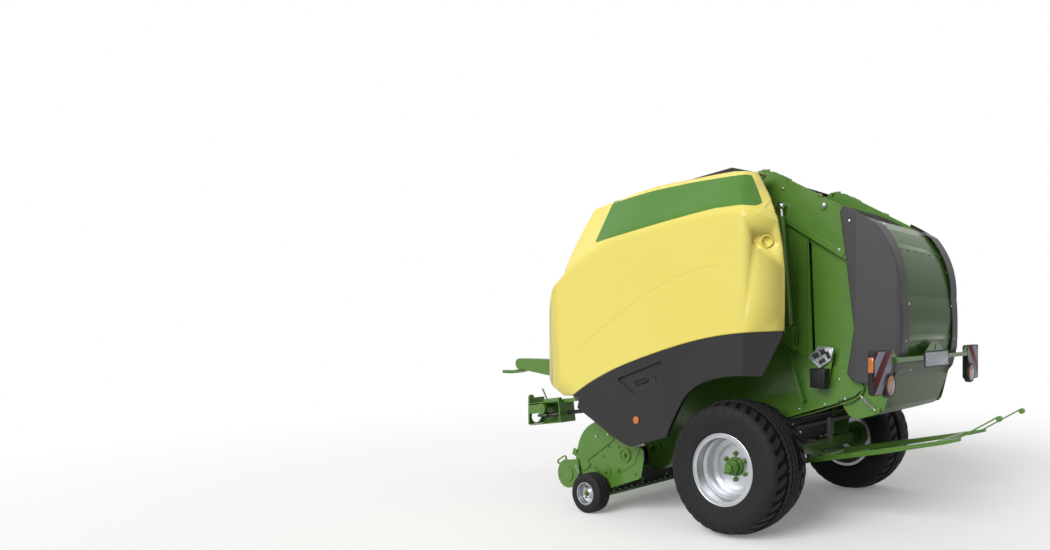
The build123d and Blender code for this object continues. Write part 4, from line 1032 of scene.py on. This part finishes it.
def build_gauge_rim(builder):
    """Pressed rim of a gauge wheel: dished disc, rolled edges and hub."""
    profile = [(-64, 96), (-64, 90), (-10, 86), (-6, 60), (-40, 44), (-40, 16), (40, 16), (44, 24),
               (40, 34), (6, 58), (14, 84), (62, 88), (70, 92), (70, 98), (60, 98), (55, 94), (-55, 94)]
    turned(builder, profile, GAUGE_HUB, LEFT, segments=56)


def build_gauge_cap(builder):
    """Nut and bolts on a gauge wheel's hub."""
    rod(builder, GAUGE_HUB + LEFT * 40 * MM, GAUGE_HUB + LEFT * 52 * MM, 26, 24, segments=24, rim=2)
    rod(builder, GAUGE_HUB + LEFT * 52 * MM, GAUGE_HUB + LEFT * 68 * MM, 15, segments=6, rim=1.5)
    for number in range(4):
        angle = math.radians(45 + 90 * number)
        out = Vector((math.cos(angle), 0, math.sin(angle)))
        bolt(builder, GAUGE_HUB + LEFT * 12 * MM + out * 68 * MM, LEFT, 13, 7)


GAUGES = ("left_gauge", "right_gauge")
mount_pair(build_gauge_tyre, "gauge_tyre", GAUGES, tyre_rubber, "gauge_wheel")
mount_pair(build_gauge_rim, "gauge_rim", GAUGES, wheel_silver, "gauge_wheel")
mount_pair(build_gauge_cap, "gauge_cap", GAUGES, enamel_green, "gauge_wheel")


def build_guard_bolts(builder):
    """Bright rings of the holes in the crop roller's arm, and the pins of its cap."""
    for x, z in ((-1733, 367), (-1714, 337), (-1695, 312)):
        turned(builder, [(-1, 8), (1.5, 8.5), (1.5, 12), (-1, 12.5)], at(x, -1109.5, z), LEFT, segments=16)
    for x, z in ((-1947, 268), (-1844, 279)):
        bolt(builder, at(x, -1116.5, z), LEFT, 8, 0.5)


mount_pair(build_guard_bolts, "guard_pins", ("crop_press", "crop_press"), zinc_steel)

# --- floor and light ---------------------------------------------------------------------
def add_stage():
    """Pale floor that keeps the shadow and fades into a white surround away from the baler."""
    mesh = bpy.data.meshes.new("floor")
    builder = bmesh.new()
    bmesh.ops.create_grid(builder, x_segments=1, y_segments=1, size=60)
    builder.to_mesh(mesh)
    builder.free()
    floor = bpy.data.objects.new("floor", mesh)
    scene.collection.objects.link(floor)
    made = bpy.data.materials.new("studio_floor")
    made.use_nodes = True
    tree = made.node_tree
    tree.nodes.clear()
    ray = put(tree, "ShaderNodeLightPath")
    place = put(tree, "ShaderNodeTexCoord").outputs["Object"]
    reach = put(tree, "ShaderNodeVectorMath", {"operation": "LENGTH"}, Vector=place)
    fade = put(tree, "ShaderNodeMapRange", {"From Min": 4.5, "From Max": 9.0}, Value=reach.outputs["Value"])
    bounce = put(tree, "ShaderNodeBsdfDiffuse", {"Color": (0.3, 0.3, 0.3, 1)})
    seen = put(tree, "ShaderNodeBsdfDiffuse", {"Color": (0.99, 0.99, 0.99, 1)})
    lift = put(tree, "ShaderNodeEmission", {"Strength": 0.16})
    near = put(tree, "ShaderNodeAddShader", _0=seen.outputs[0], _1=lift.outputs[0])
    white = put(tree, "ShaderNodeEmission", {"Strength": 1.0})
    far = put(tree, "ShaderNodeMixShader", _0=fade.outputs[0], _1=near.outputs[0], _2=white.outputs[0])
    looked = put(tree, "ShaderNodeMath", {"operation": "MAXIMUM"}, _0=ray.outputs["Is Camera Ray"],
                 _1=ray.outputs["Is Glossy Ray"])
    both = put(tree, "ShaderNodeMixShader", _0=looked.outputs[0], _1=bounce.outputs[0], _2=far.outputs[0])
    put(tree, "ShaderNodeOutputMaterial", Surface=both.outputs[0])
    mesh.materials.append(made)


def add_light():
    """One large soft lamp high at the left, in a surround that is white to the eye.

    For diffuse rays the surround is darker towards the rear, and in reflections towards the ground.
    """
    lamp = bpy.data.lights.new("key", "SUN")
    lamp.energy = 2.25
    lamp.angle = 0.7
    key = bpy.data.objects.new("key", lamp)
    key.rotation_euler = Vector((0.0, -0.86, 0.5)).to_track_quat("Z", "Y").to_euler()
    scene.collection.objects.link(key)
    surround = bpy.data.worlds.new("surround")
    surround.use_nodes = True
    tree = surround.node_tree
    ray = put(tree, "ShaderNodeLightPath")
    where = put(tree, "ShaderNodeTexCoord")
    way = put(tree, "ShaderNodeSeparateXYZ", Vector=where.outputs["Generated"])
    soft = put(tree, "ShaderNodeMapRange",
               {"From Min": -1.0, "From Max": 1.0, "To Min": 0.58, "To Max": 0.26}, Value=way.outputs["X"])
    shiny = put(tree, "ShaderNodeMapRange",
                {"From Min": -0.1, "From Max": 0.4, "To Min": 0.45, "To Max": 1.0}, Value=way.outputs["Z"])
    glossy = put(tree, "ShaderNodeMix", {"data_type": "FLOAT"}, _0=ray.outputs["Is Glossy Ray"],
                 _2=soft.outputs["Result"], _3=shiny.outputs["Result"])
    straight = put(tree, "ShaderNodeMath", {"operation": "MAXIMUM"}, _0=ray.outputs["Is Camera Ray"],
                   _1=ray.outputs["Is Transmission Ray"])
    level = put(tree, "ShaderNodeMix", {"data_type": "FLOAT", "_3": 1.0}, _0=straight.outputs[0],
                _2=glossy.outputs[0])
    sky = tree.nodes["Background"]
    sky.inputs["Color"].default_value = (1, 1, 1, 1)
    tree.links.new(level.outputs[0], sky.inputs["Strength"])
    scene.world = surround


add_stage()
add_light()
scene.view_settings.view_transform = "Standard"
